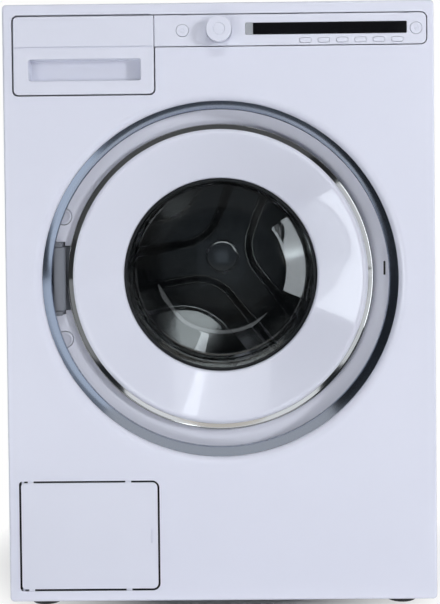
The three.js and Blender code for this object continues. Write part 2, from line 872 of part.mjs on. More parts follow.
function drumBack() {
  const outer = drumInner - seat;
  const pockets = Array.from({ length: starArms }, (_, i) => {
    const angle = starTurn + 2 * Math.PI * (i + 0.5) / starArms;
    const front = outer * pocketRadiusShare + starRelief / 2;
    const rear = outer * pocketRadiusShare - starRelief / 2;
    const reach = outer * pocketPlaceShare;
    const cone = new THREE.CylinderGeometry(rear, front, starRelief + overrun, innerSteps);
    const middle = starFront + (starRelief - overrun) / 2;
    return cone.translate(reach * Math.cos(angle), middle, reach * Math.sin(angle));
  });
  const disc = turned([
    [0, starFront],
    [outer - starRelief, starFront],
    [outer - starRelief / 2, drumRear - 2 * drumWall],
    [outer, drumRear - 2 * drumWall],
    [outer, drumRear - drumWall],
    [0, drumRear - drumWall],
  ], innerSteps);
  return cut(disc, ...pockets);
}

function lifter() {
  const reach = drumInner * Math.cos(Math.PI / innerSteps) - seat;
  const foot = -reach - overrun;
  const top = reach - lifterHeight - overrun;
  const [near, far] = [drumFront + drumRounding * 3 / 2 + lifterMargin, starFront - lifterMargin];
  const bar = plate(outline([
    [-lifterWidth / 2, foot, 0],
    [lifterWidth / 2, foot, 0],
    [lifterWidth / 2, -reach + drumWall, 0],
    [lifterWidth / 5, lifterHeight - reach, lifterWidth / 8],
    [-lifterWidth / 5, lifterHeight - reach, lifterWidth / 8],
    [-lifterWidth / 2, -reach + drumWall, 0],
  ]), near, far);
  const slope = lifterHeight / 2;
  return meet(bar, turned([[reach, near], [top, near + slope], [top, far - slope], [reach, far]]));
}

const hubCap = () => turned([
  [0, starFront - hubCapRise],
  [hubCapRadius * hubInnerShare, starFront - hubCapRise * hubInnerRiseShare],
  [hubCapRadius * hubOuterShare, starFront - hubCapRise * hubOuterRiseShare],
  [hubCapRadius, starFront - seat],
  [0, starFront - seat],
], midSteps);

const drumShaft = () => turned([
  [0, drumRear - drumWall + seat],
  [3 * shaftRadius, drumRear - drumWall + seat],
  [3 * shaftRadius, drumRear + 2 * drumWall],
  [shaftRadius, drumRear + 4 * drumWall],
  [shaftRadius, pulleyRear - seat],
  [0, pulleyRear - seat],
], midSteps);

// Drum pulley: rim, hub and spokes
const pulleyHub = 2 * shaftRadius;

function drumPulley() {
  const rim = cut(
    rodY(pulleyRadius, pulleyFront, pulleyRear, 0, 0, innerSteps),
    rodY(pulleyRadius - rimWall, pulleyFront - overrun, pulleyRear + overrun, 0, 0, innerSteps),
  );
  const spokes = Array.from({ length: pulleySpokes / 2 }, (_, i) => block(
    rimWall / 2 - pulleyRadius, pulleyRadius - rimWall / 2, pulleyFront + rimWall, pulleyRear - rimWall,
    -shaftRadius / 2, shaftRadius / 2,
  ).rotateY(2 * Math.PI * i / pulleySpokes));
  return cut(
    join(rim, rodY(pulleyHub, pulleyFront, pulleyRear), ...spokes),
    rodY(shaftRadius + seat, pulleyFront - overrun, pulleyRear + overrun),
  );
}

// Motor under the tub, its pulley, and the belt round both pulleys
const motorFront = tubFront + motorPlaceShare * drumLength;
const motorRear = motorFront + motorLength;

function motor() {
  const lugs = [motorFront + lugLength, motorRear - 2 * lugLength].map((near) => cut(
    block(-lugWidth / 2, lugWidth / 2, near, near + lugLength, -motorDrop, -tubOuter / 2),
    rodY(tubOuter + seat, near - overrun, near + lugLength + overrun, 0, 0, innerSteps),
  ));
  return cut(
    join(
      rodY(motorRadius, motorFront, motorRear, 0, -motorDrop),
      rodY(motorRadius / 2, motorRear - overrun, motorRear + lugLength / 2, 0, -motorDrop),
      ...lugs,
    ),
    rodY(motorShaftRadius + seat, motorRear - boreDepth, motorRear + lugLength, 0, -motorDrop, smallSteps),
  );
}

const motorPulley = () => join(
  rodY(motorShaftRadius, motorRear - boreDepth + sheet, pulleyFront + rimWall, 0, -motorDrop, smallSteps),
  rodY(motorPulleyRadius, pulleyFront, pulleyRear, 0, -motorDrop, midSteps),
);

function beltLoop(spread) {
  const [large, small] = [pulleyRadius + spread, motorPulleyRadius + spread];
  const lean = Math.asin((large - small) / motorDrop);
  const shape = new THREE.Path();
  shape.absarc(0, 0, large, -lean, Math.PI + lean, false);
  shape.absarc(0, -motorDrop, small, Math.PI + lean, 2 * Math.PI - lean, false);
  shape.closePath();
  return shape;
}

function driveBelt() {
  const loop = new THREE.Shape(beltLoop(beltGap + beltThickness).getPoints(midSteps));
  loop.holes.push(new THREE.Path(beltLoop(beltGap).getPoints(midSteps)));
  return plate(loop, pulleyFront + sheet, pulleyRear - sheet);
}

// Dampers: a cylinder stands on the base pan, and its rod carries the tub
const damperX = damperPlaceShare * tubOuter;
const damperPlaces = [-1, 1].flatMap((side) => [tubFront + damperInset, tubRear - damperInset].map(
  (depth) => [side * damperX, depth],
));
const damperFoot = panTop + seat;

function damperCylinder() {
  const top = damperFoot + damperLength;
  const boreFoot = top - damperLength * damperBoreShare;
  return cut(
    rodZ(damperRadius, damperFoot, top, 0, 0, midSteps),
    rodZ(damperRod + damperPlay, boreFoot, top + overrun, 0, 0, midSteps),
  );
}

function damperRodPiece([x, depth]) {
  const low = damperFoot + damperLength - damperOverlap;
  const head = axisHeight - Math.sqrt(tubOuter ** 2 - damperX ** 2) - 2 * damperRadius;
  const rod = join(
    rodZ(damperRod, low, head + damperRod, x, depth, midSteps),
    rodZ(damperRadius, head, axisHeight - damperX / 2, x, depth, midSteps),
  );
  const reach = 2 * damperRadius;
  return cut(rod, rodY(tubOuter + seat, depth - reach, depth + reach, 0, axisHeight, innerSteps));
}

// Cabinet wrap with its rear wall, in which the service opening, hose outlet and cable inlet sit
const wrapTop = cabinetHeight - boardThickness - seat;
const coverHalfWidth = coverWidthShare * halfWidth;
const coverLow = axisHeight - coverHeightShares[0] * coverHalfWidth;
const coverHigh = axisHeight + coverHeightShares[1] * coverHalfWidth;
const coverEdges = [-coverHalfWidth, coverHalfWidth, coverLow, coverHigh, coverLap];
const valveX = halfWidth - valveInset;
const valveZ = wrapTop - valveInset;
const rearPorts = [
  { x: -halfWidth + outletInset, z: wrapTop - outletInset, radius: outletRadius },
  { x: halfWidth - outletInset, z: footHeight + outletInset, radius: glandRadius },
];

function cabinetBody() {
  const front = panelFlange + seat;
  const rear = rearWall + sheet;
  const inside = halfWidth - sheet;
  const lip = inside - returnFlange;
  const wrap = cut(
    block(-halfWidth, halfWidth, front, rear, footHeight, wrapTop),
    block(-inside, inside, front - overrun, rearWall, footHeight + sheet, wrapTop - sheet),
    block(-lip, lip, front - overrun, rearWall - returnFlange, footHeight - overrun, wrapTop + overrun),
    block(
      coverLap - coverHalfWidth, coverHalfWidth - coverLap, rearWall - overrun, rear + overrun,
      coverLow + coverLap, coverHigh - coverLap,
    ),
    rodY(valveRadius + seat, rearWall - overrun, rear + overrun, valveX, valveZ),
  );
  const [near, far] = [rearWall - outletWall, rearWall + coverReach];
  const ports = rearPorts.map(({ x, z, radius }) => rodY(radius, near, far, x, z));
  const bores = rearPorts.map(({ x, z, radius }) => rodY(
    radius - outletWall, near - overrun, far + overrun, x, z,
  ));
  return cut(join(wrap, ...ports), ...bores);
}

function rearCover() {
  const front = rearWall + sheet + seat;
  const rear = rearWall + sheet + coverReach;
  const dome = coverEdges.slice(0, 4).map((edge, i) => (i % 2 ? edge - 2 * coverLap : edge + 2 * coverLap));
  const raised = [...dome, coverLap];
  const tray = join(
    plate(inset(coverEdges, 0), front, front + sheet),
    plate(inset(raised, 0), front + sheet / 2, rear),
  );
  return cut(tray, plate(inset(raised, sheet), front - overrun, rear - sheet));
}

const topCover = () => block(
  -halfWidth, halfWidth, panelFlange + seat, cabinetDepth, wrapTop + seat, cabinetHeight,
);

// Base pan with a raised rim and a threaded boss for each foot
const footPlaces = [-1, 1].flatMap((side) => [panelFlange + footInset, rearWall - footInset].map(
  (depth) => [side * (halfWidth - footInset), depth],
));

function basePan() {
  const side = halfWidth - sheet - seat;
  const [front, rear] = [panelFlange + seat, rearWall - seat];
  const [hollowSide, rim] = [side - panThickness, panTop + panWall];
  const tray = cut(
    block(-side, side, front, rear, panBottom, rim),
    block(-hollowSide, hollowSide, front + panThickness, rear - panThickness, panTop, rim + overrun),
  );
  const bosses = footPlaces.map(([x, depth]) => rodZ(
    stemRadius + bossWall, panTop - seat, panTop + bossHeight, x, depth,
  ));
  const bores = footPlaces.map(([x, depth]) => rodZ(
    stemRadius + seat, panBottom - overrun, panTop + bossHeight + overrun, x, depth,
  ));
  return cut(join(tray, ...bosses), ...bores);
}

function foot() {
  const padHeight = footHeight / 2;
  return join(
    rodZ(footPadRadius, 0, padHeight, 0, 0, midSteps),
    rodZ(footPadRadius / 2, padHeight - overrun, footHeight - 2 * seat, 0, 0, hexSides),
    rodZ(stemRadius, padHeight - overrun, footHeight - 2 * seat + stemLength),
  );
}

// Control fascia with its holes, and what sits in them
const optionPlaces = Array.from({ length: optionCount }, (_, i) => optionFirst + i * optionPitch);
const oval = (width, height) => rectangle(
  -width / 2, width / 2, -height / 2, height / 2, height / 2 * ovalShare,
);

const lensOutline = (gap) => rectangle(
  lensLeft - gap, lensRight + gap, fasciaMiddle - lensHeight / 2 - gap, fasciaMiddle + lensHeight / 2 + gap,
  lensCornerRadius + gap,
);

function controlFascia() {
  const corners = (inset) => outline([
    [fasciaLeft + inset, fasciaBottom + inset, 0],
    [fasciaRight - inset, fasciaBottom + inset, fasciaCornerRadius - inset],
    [fasciaRight - inset, drawerTop - inset, fasciaCornerRadius - inset],
    [fasciaLeft + inset, drawerTop - inset, 0],
  ]);
  const shell = cut(
    plate(corners(0), 0, fasciaDepth, fasciaRounding),
    plate(corners(fasciaWall), fasciaWall, fasciaDepth + overrun),
  );
  const rounds = [
    [powerX, powerRadius + buttonPlay], [startX, startRadius + buttonPlay], [knobX, knobShaft + seat],
  ];
  const holes = rounds.map(([x, radius]) => rodY(radius, -overrun, fasciaDepth, x, fasciaMiddle));
  const ovals = optionPlaces.map((x) => plate(
    oval(optionWidth + 2 * buttonPlay, optionHeight + 2 * buttonPlay), -overrun, fasciaDepth,
  ).translate(x, 0, fasciaMiddle - optionDrop));
  return cut(shell, ...holes, ...ovals, plate(lensOutline(seat), -overrun, fasciaDepth));
}

const displayLens = () => plate(lensOutline(0), -seat, lensWall);

// Knob: a cup with a raised rim and a finger slope, on a shaft

const programKnob = () => turned([
  [0, knobDish - knobReach],
  [knobRadius * knobDishShare, knobDish - knobReach],
  [knobRadius * knobRimShare, -knobReach],
  [knobRadius * knobCrownShare, -knobReach],
  [knobRadius * knobTopShare, knobEdge - knobReach],
  [knobRadius, -seat],
  [knobShaft, -seat],
  [knobShaft, fasciaDepth - sheet],
  [0, fasciaDepth - sheet],
], midSteps);

const roundButton = (radius) => turned([
  [0, -buttonProud],
  [radius - buttonPlay, -buttonProud],
  [radius, -buttonProud / 2],
  [radius, buttonDepth],
  [0, buttonDepth],
], midSteps);

const optionButton = () => plate(oval(optionWidth, optionHeight), -buttonProud, buttonDepth, buttonProud / 2);

// Drawer: front with a finger recess, tray with compartments, and the housing it runs in

function drawerFront() {
  const corners = (inset) => outline([
    [drawerLeft + inset, drawerBottom + inset, drawerCornerRadius - inset],
    [drawerRight - inset, drawerBottom + inset, drawerCornerRadius - inset],
    [drawerRight - inset, drawerTop - inset, 0],
    [drawerLeft + inset, drawerTop - inset, drawerCornerRadius - inset],
  ]);
  const shell = cut(
    plate(corners(0), 0, drawerFrontDepth, drawerRounding),
    plate(corners(drawerFrontWall), drawerFrontWall, drawerFrontDepth + overrun),
  );
  const [left, right] = [drawerLeft + handleLeft, drawerLeft + handleLeft + handleWidth];
  const [low, high] = [drawerBottom + handleLow, drawerBottom + handleLow + handleHeight];
  const slit = drawerFrontWall + slitHeight;
  const wall = drawerFrontWall;
  const box = block(left - wall, right + wall, wall / 2, handleDepth + wall, low - wall, high + slit);
  const recess = plate(rectangle(left, right, low, high, handleRadius), -overrun, handleDepth);
  const undercut = block(
    left + handleRadius, right - handleRadius, wall, handleDepth - handleRadius,
    high - handleRadius, high + slitHeight,
  );
  const groove = block(
    drawerLeft - overrun, drawerRight + overrun, -overrun, grooveDepth,
    fasciaBottom, fasciaBottom + grooveWidth,
  );
  return cut(join(shell, box), recess, undercut, groove);
}

const trayBottom = housingBottom + housingWall + seat;

function drawerTray() {
  const [left, right] = [drawerLeft + trayInset, drawerRight - trayInset];
  const [front, rear] = [drawerFrontDepth + seat, drawerFrontDepth + seat + trayLength];
  const top = trayBottom + trayHeight;
  const walls = [0, ...trayShares, 1];
  const cells = walls.slice(1).map((share, i) => block(
    left + (right - left) * walls[i] + trayWall / (i ? 2 : 1),
    left + (right - left) * share - trayWall / (share < 1 ? 2 : 1),
    front + trayWall, rear - trayWall, trayBottom + trayWall, top + overrun,
  ));
  return cut(block(left, right, front, rear, trayBottom, top), ...cells);
}

function dispenserHousing() {
  const [left, right] = [drawerLeft, drawerRight];
  const front = drawerFrontDepth + sheet;
  const rear = front + trayLength + housingReach;
  const top = trayBottom + trayHeight + housingReach;
  const flange = block(
    -halfWidth + sheet + seat, right + housingReach, front + seat, front + seat + housingWall,
    housingBottom, wrapTop - sheet - seat,
  );
  const channel = block(left, right, front + seat, rear, housingBottom, top);
  const inside = block(
    left + housingWall, right - housingWall, front - overrun, rear - housingWall,
    housingBottom + housingWall, top - housingWall,
  );
  return cut(join(flange, channel), inside);
}

// Service flap with its pins, snap notch and spacer nubs

function serviceFlap() {
  const middle = (flapTop + flapBottom) / 2;
  const nubs = nubShares.flatMap((share) => [flapBottom - flapSeam + seat, flapTop - flapWall].map((low) => block(
    flapLeft + share * flapWidth, flapLeft + share * flapWidth + nubWidth, nubDepth, nubDepth + nubWall,
    low, low + flapSeam + flapWall - seat,
  )));
  const arms = [[flapBottom - flapSeam - flapEarHeight, flapBottom + flapEarHeight],
    [flapTop - flapEarHeight, flapTop + flapSeam + flapEarHeight]].map(([low, high]) => rodZ(
    flapPinRadius, low, high, flapPinX, flapPinDepth, smallSteps / 2,
  ));
  const knuckles = [flapBottom + seat, flapTop - flapEarHeight - seat].map((low) => block(
    flapPinX - 2 * flapPinRadius, flapPinX + 2 * flapPinRadius, sheet, flapPinDepth + flapPinRadius * 3 / 2,
    low, low + flapEarHeight,
  ));
  const notch = block(
    flapRight - notchInset - notchWidth, flapRight - notchInset, -overrun, notchDepth,
    middle - notchHeight / 2, middle + notchHeight / 2,
  );
  return cut(join(plate(inset(flapEdges, 0), 0, flapWall, flapWall / 4), ...nubs, ...arms, ...knuckles), notch);
}

// Drain pump: mounting plate, filter chamber, pump body and motor; the filter cap closes the chamber
const filterX = (flapLeft + flapRight) / 2;
const filterZ = (flapBottom + flapTop) / 2;

function drainPump() {
  const front = pumpPlateDepth;
  const face = block(
    flapLeft - pumpPlateLap, flapRight + pumpPlateLap, front, front + trayWall,
    flapBottom - pumpPlateLap, flapTop + pumpPlateLap,
  );
  const outer = chamberRadius + chamberWall;
  const rear = front + chamberDepth;
  return cut(
    join(
      face,
      rodY(outer, front, rear, filterX, filterZ),
      rodY(outer + trayWall, rear - overrun, rear + pumpBodyLength, filterX, filterZ),
      rodX(pumpMotorRadius, filterX - outer - pumpMotorLength, filterX, rear - pumpMotorRadius, filterZ),
      block(filterX - outer, filterX + outer, front + chamberDepth / 2, rear, panTop + seat, filterZ),
    ),
    rodY(chamberRadius, front - overrun, rear - chamberWall, filterX, filterZ),
  );
}

function filterCap() {
  const front = pumpPlateDepth - seat - capWall;
  const rim = chamberRadius + chamberWall / 2;
  return join(
    rodY(rim, front, pumpPlateDepth - seat, filterX, filterZ),
    rodY(chamberRadius - 2 * seat, front + seat, front + plugShare * chamberDepth, filterX, filterZ),
    block(filterX - rim + gripWidth / 2, filterX + rim - gripWidth / 2, front - gripProud, front + seat,
      filterZ - gripWidth / 2, filterZ + gripWidth / 2),
  );
}

// Inlet valve: threaded stub through the rear wall, collar, body and two outlets

function inletValve() {
  const half = valveBody / 2;
  const collarRearFace = rearWall - seat;
  const bodyRear = collarRearFace - half;
  const outlets = [-1, 1].map((side) => rodZ(
    valveCollar, valveZ - half - 2 * valveCollar, valveZ, valveX + side * half / 2, bodyRear - half,
  ));
  const body = join(
    rodY(valveRadius, bodyRear - overrun, rearWall + coverReach, valveX, valveZ),
    rodY(valveRadius + valveCollar, collarRearFace - valveCollar, collarRearFace, valveX, valveZ),
    block(valveX - half, valveX + half, bodyRear - valveBody, bodyRear, valveZ - half, valveZ + half),
    ...outlets,
  );
  return cut(body, rodY(valveRadius - outletWall, bodyRear, cabinetDepth, valveX, valveZ));
}

// Scene graph: the cabinet's group starts at the front plane, and the round group on the drum's axis
const cabinet = new THREE.Group();
cabinet.position.set(0, frontY, 0);
cabinet.add(
  piece('front_panel', 'paint', frontPanel()),
  piece('cabinet_body', 'paint', cabinetBody()),
  piece('rear_cover', 'paint', rearCover()),
  piece('top_cover', 'plastic', topCover()),
  piece('base_pan', 'steel', basePan()),
  piece('control_fascia', 'plastic', controlFascia()),
  piece('display_lens', 'lens', displayLens()),
  piece('program_knob', 'plastic', programKnob(), [knobX, 0, fasciaMiddle]),
  piece('power_button', 'plastic', roundButton(powerRadius), [powerX, 0, fasciaMiddle]),
  piece('start_button', 'plastic', roundButton(startRadius), [startX, 0, fasciaMiddle]),
  ...optionPlaces.map((x, i) => piece(
    `option_button_${i + 1}`, 'plastic', optionButton(), [x, 0, fasciaMiddle - optionDrop],
  )),
  piece('drawer_front', 'plastic', drawerFront()),
  piece('drawer_tray', 'plastic', drawerTray()),
  piece('dispenser_housing', 'grey', dispenserHousing()),
  piece('service_flap', 'plastic', serviceFlap()),
  piece('drain_pump', 'dark', drainPump()),
  piece('filter_cap', 'plastic', filterCap()),
  piece('inlet_valve', 'dark', inletValve()),
  ...damperPlaces.map((place, i) => piece(
    `damper_cylinder_${i + 1}`, 'dark', damperCylinder(), [...place, 0],
  )),
  ...damperPlaces.map((place, i) => piece(`damper_rod_${i + 1}`, 'steel', damperRodPiece(place))),
  ...footPlaces.map((place, i) => piece(`foot_${i + 1}`, 'dark', foot(), [...place, 0])),
);

const round = new THREE.Group();
round.position.set(0, 0, axisHeight);
round.add(
  piece('recess_ring', 'trim', recessRing()),
  piece('door_surround', 'plastic', surround()),
  piece('hinge_bracket', 'cast', hingeBracket()),
  piece('door_lock', 'dark', doorLock()),
  piece('hinge_arm', 'cast', hingeArm()),
  piece('chrome_ring', 'chrome', chromeRing()),
  piece('door_frame', 'gloss', doorFrame()),
  piece('door_glass', 'glass', glassBowl()),
  piece('door_inner_frame', 'dark', innerFrame()),
  piece('door_hook', 'steel', doorHook()),
  piece('tub_shell', 'grey', tubShell()),
  piece('tub_seal', 'rubber', tubSeal()),
  piece('front_weight', 'stone', frontWeight()),
  piece('rear_bearing', 'steel', bearing()),
  piece('motor', 'cast', motor()),
  piece('drive_belt', 'rubber', driveBelt()),
  piece('motor_pulley', 'steel', motorPulley()),
  piece('drum_shell', 'steel', drumShell()),
  piece('drum_back', 'steel', drumBack()),
  piece('hub_cap', 'chrome', hubCap()),
  piece('drum_shaft', 'steel', drumShaft()),
  piece('drum_pulley', 'cast', drumPulley()),
);
for (let i = 0; i < liftersCount; i += 1) {
  const bar = piece(`lifter_${i + 1}`, 'plastic', lifter());
  bar.rotation.y = 2 * Math.PI * (i + 0.5) / liftersCount - starTurn;
  round.add(bar);
}
cabinet.add(round);

const machine = new THREE.Group();
machine.add(cabinet);

export default machine;
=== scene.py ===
import json
import math

import bmesh
import bpy
from mathutils import Matrix, Vector


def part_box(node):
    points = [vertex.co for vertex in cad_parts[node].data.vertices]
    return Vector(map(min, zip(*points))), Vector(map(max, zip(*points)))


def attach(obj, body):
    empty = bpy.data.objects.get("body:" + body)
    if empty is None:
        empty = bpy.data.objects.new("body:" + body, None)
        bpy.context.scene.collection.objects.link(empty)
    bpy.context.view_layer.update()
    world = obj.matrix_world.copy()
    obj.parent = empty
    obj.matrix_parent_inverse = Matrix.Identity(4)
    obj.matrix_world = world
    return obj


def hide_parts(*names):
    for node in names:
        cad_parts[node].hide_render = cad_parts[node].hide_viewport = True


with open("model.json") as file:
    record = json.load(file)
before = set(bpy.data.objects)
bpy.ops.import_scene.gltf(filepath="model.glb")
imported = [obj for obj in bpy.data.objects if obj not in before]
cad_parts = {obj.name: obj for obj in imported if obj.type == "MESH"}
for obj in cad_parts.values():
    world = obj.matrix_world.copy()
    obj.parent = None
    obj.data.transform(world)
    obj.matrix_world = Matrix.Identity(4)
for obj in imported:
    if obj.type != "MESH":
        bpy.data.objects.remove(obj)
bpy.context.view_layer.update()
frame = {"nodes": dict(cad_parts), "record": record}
cad_nodes = frame["nodes"]

# Sizes are in millimetres unless a comment says metres, and depths are measured back from the front plane
MM = 0.001
front_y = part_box("front_panel")[0].y / MM
ring_low, ring_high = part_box("chrome_ring")
axis_z = (ring_low.z + ring_high.z) / 2 / MM
overrun = 5.0
seat = 0.3

fine_steps = 256
round_steps = 64
corner_steps = 8
edge_steps = 4


def place(x, depth, z):
    return Vector((x * MM, (front_y + depth) * MM, z * MM))


def extent(node):
    """Left, right, near, far, low and high of a CAD node."""
    low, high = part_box(node)
    return (low.x / MM, high.x / MM, low.y / MM - front_y, high.y / MM - front_y, low.z / MM, high.z / MM)


# Materials

def srgb(red, green, blue):
    channels = [value / 255 for value in (red, green, blue)]
    return tuple(c / 12.92 if c <= 0.04045 else ((c + 0.055) / 1.055) ** 2.4 for c in channels) + (1.0,)


def scaled(colour, share):
    return tuple(min(1.0, c * share) for c in colour[:3]) + (1.0,)


def new_material(name):
    material = bpy.data.materials.new(name)
    material.use_nodes = True
    return material, material.node_tree, material.node_tree.nodes["Principled BSDF"]


def feed(tree, node, inputs):
    """Sets the inputs of a node, or links those that are given another node's output."""
    for name, value in inputs.items():
        if isinstance(value, bpy.types.NodeSocket):
            tree.links.new(value, node.inputs[name])
        else:
            node.inputs[name].default_value = value


def add(tree, kind, inputs, **settings):
    """The outputs of a new shader node."""
    node = tree.nodes.new("ShaderNode" + kind)
    for name, value in settings.items():
        setattr(node, name, value)
    feed(tree, node, inputs)
    return node.outputs


def show(tree, share, first, second, output="Material Output"):
    """Shows the first shader, and by its share the second one."""
    mix = tree.nodes.new("ShaderNodeMixShader")
    for source, socket in zip((share, first, second), mix.inputs):
        tree.links.new(source, socket)
    tree.links.new(mix.outputs["Shader"], tree.nodes[output].inputs["Surface"])


def noise(tree, where, scale, detail=4.0):
    return add(tree, "TexNoise", {"Vector": where, "Scale": scale, "Detail": detail})["Fac"]


def mixed(tree, share, first, second):
    return add(tree, "Mix", {"Factor": share, "A": first, "B": second}, data_type="RGBA")["Result"]


def spread_over(tree, share, low, high):
    return add(tree, "MapRange", {"Value": share, "To Min": low, "To Max": high})["Result"]


def raised(tree, height, relief):
    return add(tree, "Bump", {"Height": height, "Strength": 1.0, "Distance": relief * MM})["Normal"]


usual_index = 1.5


def finish(name, colour, rough, metal=0.0, mottle=0.03, cloud=18.0, spread=0.05, grain=400.0,
           relief=0.02, stretch=(1, 1, 1), coat=0.0, coat_rough=0.05):
    """A surface with clouds of colour and gloss, and a fine relief in millimetres."""
    material, tree, shader = new_material(name)
    colour = srgb(*colour)
    where = add(tree, "TexCoord", {})["Object"]
    clouds = noise(tree, where, cloud)
    drawn_out = add(tree, "Mapping", {"Vector": where, "Scale": stretch})["Vector"]
    feed(tree, shader, {
        "Metallic": metal, "IOR": usual_index, "Coat Weight": coat, "Coat Roughness": coat_rough,
        "Base Color": mixed(tree, clouds, scaled(colour, 1 - mottle), scaled(colour, 1 + mottle)),
        "Roughness": spread_over(tree, clouds, max(0.0, rough - spread), rough + spread),
        "Normal": raised(tree, noise(tree, drawn_out, grain), relief)})
    return material


glass_tint, glass_index = (0.93, 0.96, 0.96, 1.0), 1.47
glass_smear, smear_scale = 0.03, 25.0
glass_ripple, ripple_scale = 0.15, 14.0


def clear_glass(name):
    """Clear glass that lets lamps through."""
    material, tree, shader = new_material(name)
    where = add(tree, "TexCoord", {})["Object"]
    feed(tree, shader, {
        "Base Color": glass_tint, "Transmission Weight": 1.0, "IOR": glass_index,
        "Roughness": spread_over(tree, noise(tree, where, smear_scale), 0.0, glass_smear),
        "Normal": raised(tree, noise(tree, where, ripple_scale, detail=1.0), glass_ripple)})
    show(tree, add(tree, "LightPath", {})["Is Shadow Ray"], shader.outputs["BSDF"],
         add(tree, "BsdfTransparent", {})["BSDF"])
    return material


finishes = {
    "white_paint": finish("enamel", (218, 221, 236), 0.34, mottle=0.012, spread=0.04, grain=260,
                          relief=0.012, coat=0.6, coat_rough=0.08),
    "white_plastic": finish("white_plastic", (216, 219, 233), 0.3, mottle=0.012, grain=1500,
                            relief=0.006),
    "gloss_white": finish("gloss_white", (217, 220, 234), 0.14, mottle=0.01, spread=0.03, grain=120,
                          relief=0.006, coat=1.0, coat_rough=0.02),
    "trim_grey": finish("trim_grey", (150, 160, 178), 0.16, metal=1.0, spread=0.04, grain=150,
                        relief=0.004, coat=0.5, coat_rough=0.03),
    "chrome": finish("chrome", (196, 195, 194), 0.06, metal=1.0, mottle=0.04, spread=0.03, grain=90,
                     relief=0.01),
    "stainless": finish("stainless", (150, 150, 149), 0.09, metal=1.0, mottle=0.06, spread=0.04,
                        grain=60, stretch=(1, 0.1, 1)),
    "pressed_steel": finish("pressed_steel", (150, 150, 149), 0.14, metal=1.0, mottle=0.14, cloud=26,
                            spread=0.07, grain=34, relief=0.09),
    "zinc_steel": finish("zinc_steel", (160, 163, 168), 0.38, metal=1.0, mottle=0.12, cloud=60,
                         spread=0.1, grain=500),
    "dark_plastic": finish("dark_plastic", (38, 39, 42), 0.5, mottle=0.08, grain=1600, relief=0.03),
    "grey_plastic": finish("grey_plastic", (156, 160, 167), 0.5, mottle=0.05, grain=1400, relief=0.03),
    # A darker copy of grey_plastic: painted shade for the hinge, which sits in a shaded pocket
    "hinge_grey_painted_shade": finish("hinge_grey_painted_shade", (116, 120, 129), 0.5, mottle=0.05, grain=1400, relief=0.03),
    "display_lens": finish("display_lens", (14, 13, 16), 0.07, mottle=0.15, spread=0.03, grain=80,
                           relief=0.004, coat=1.0, coat_rough=0.02),
    "seal_rubber": finish("seal_rubber", (26, 28, 31), 0.36, mottle=0.1, cloud=40, spread=0.1,
                          grain=900),
    "concrete": finish("concrete", (142, 141, 136), 0.85, mottle=0.15, cloud=70, grain=350,
                       relief=0.35),
    "cast_aluminium": finish("cast_aluminium", (150, 152, 156), 0.42, metal=1.0, mottle=0.08, cloud=50,
                             spread=0.1, grain=700, relief=0.05),
    "door_glass": clear_glass("door_glass"),
}


# Shapes in mesh code

def link(obj):
    bpy.context.scene.collection.objects.link(obj)
    return obj


def plain_object(name, corners, faces):
    mesh = bpy.data.meshes.new(name)
    mesh.from_pydata(corners, [], faces)
    return link(bpy.data.objects.new(name, mesh))


def mesh_object(name, verts, faces, merge=0.0):
    """A mesh of placed points whose faces look outwards, with points closer than merge joined."""
    obj = plain_object(name, [place(*v) for v in verts], faces)
    bm = bmesh.new()
    bm.from_mesh(obj.data)
    if merge > 0:
        bmesh.ops.remove_doubles(bm, verts=bm.verts, dist=merge * MM)
    bmesh.ops.recalc_face_normals(bm, faces=bm.faces)
    bm.to_mesh(obj.data)
    bm.free()
    return obj


most_share = 0.48


def rounded(points, reaches, closed=True, steps=edge_steps):
    """The same line with its corners rounded, each starting that far from its corner."""
    if not isinstance(reaches, (list, tuple)):
        reaches = [reaches] * len(points)
    line = []
    for i, (corner, reach) in enumerate(zip(points, reaches)):
        if reach == 0 or (not closed and i in (0, len(points) - 1)):
            line.append(tuple(corner))
            continue
        corner = Vector(corner)
        before = Vector(points[i - 1]) - corner
        after = Vector(points[(i + 1) % len(points)]) - corner
        start = corner + before.normalized() * min(reach, before.length * most_share)
        end = corner + after.normalized() * min(reach, after.length * most_share)
        for k in range(steps + 1):
            t = k / steps
            line.append(tuple(start * (1 - t) ** 2 + corner * 2 * t * (1 - t) + end * t ** 2))
    return line


def walled(path, wall, sharpest=0.5):
    """A closed profile: the path, and the path again one wall to its right."""
    away = []
    for i, point in enumerate(path):
        point = Vector(point)
        legs = []
        if i > 0:
            legs.append((point - Vector(path[i - 1])).normalized())
        if i < len(path) - 1:
            legs.append((Vector(path[i + 1]) - point).normalized())
        along = sum(legs, Vector((0, 0))).normalized()
        stretch = 1 / max(sharpest, along.dot(legs[0]))
        away.append(tuple(point + Vector((along.y, -along.x)) * wall * stretch))
    return list(path) + away[::-1]


def lathe(name, profile, x=0.0, z=None, steps=fine_steps):
    """A closed profile of (radius, depth) turned about a line that runs front to back."""
    z = axis_z if z is None else z
    verts, rings, faces = [], [], []
    for radius, depth in profile:
        count = steps if radius > 0 else 1
        rings.append(range(len(verts), len(verts) + count))
        for i in range(count):
            angle = 2 * math.pi * i / steps
            verts.append((x + radius * math.cos(angle), depth, z + radius * math.sin(angle)))
    for near, far in zip(rings, rings[1:] + rings[:1]):
        if len(near) == len(far) == 1:
            continue
        for i in range(steps):
            j = i + 1
            corners = [near[i % len(near)], near[j % len(near)], far[j % len(far)], far[i % len(far)]]
            faces.append(list(dict.fromkeys(corners)))
    return mesh_object(name, verts, faces)


def arc(radius, start, end, x, y, steps):
    angles = [start + (end - start) * k / steps for k in range(steps + 1)]
    return [(x + radius * math.cos(a), y + radius * math.sin(a)) for a in angles]


least_radius = 0.2


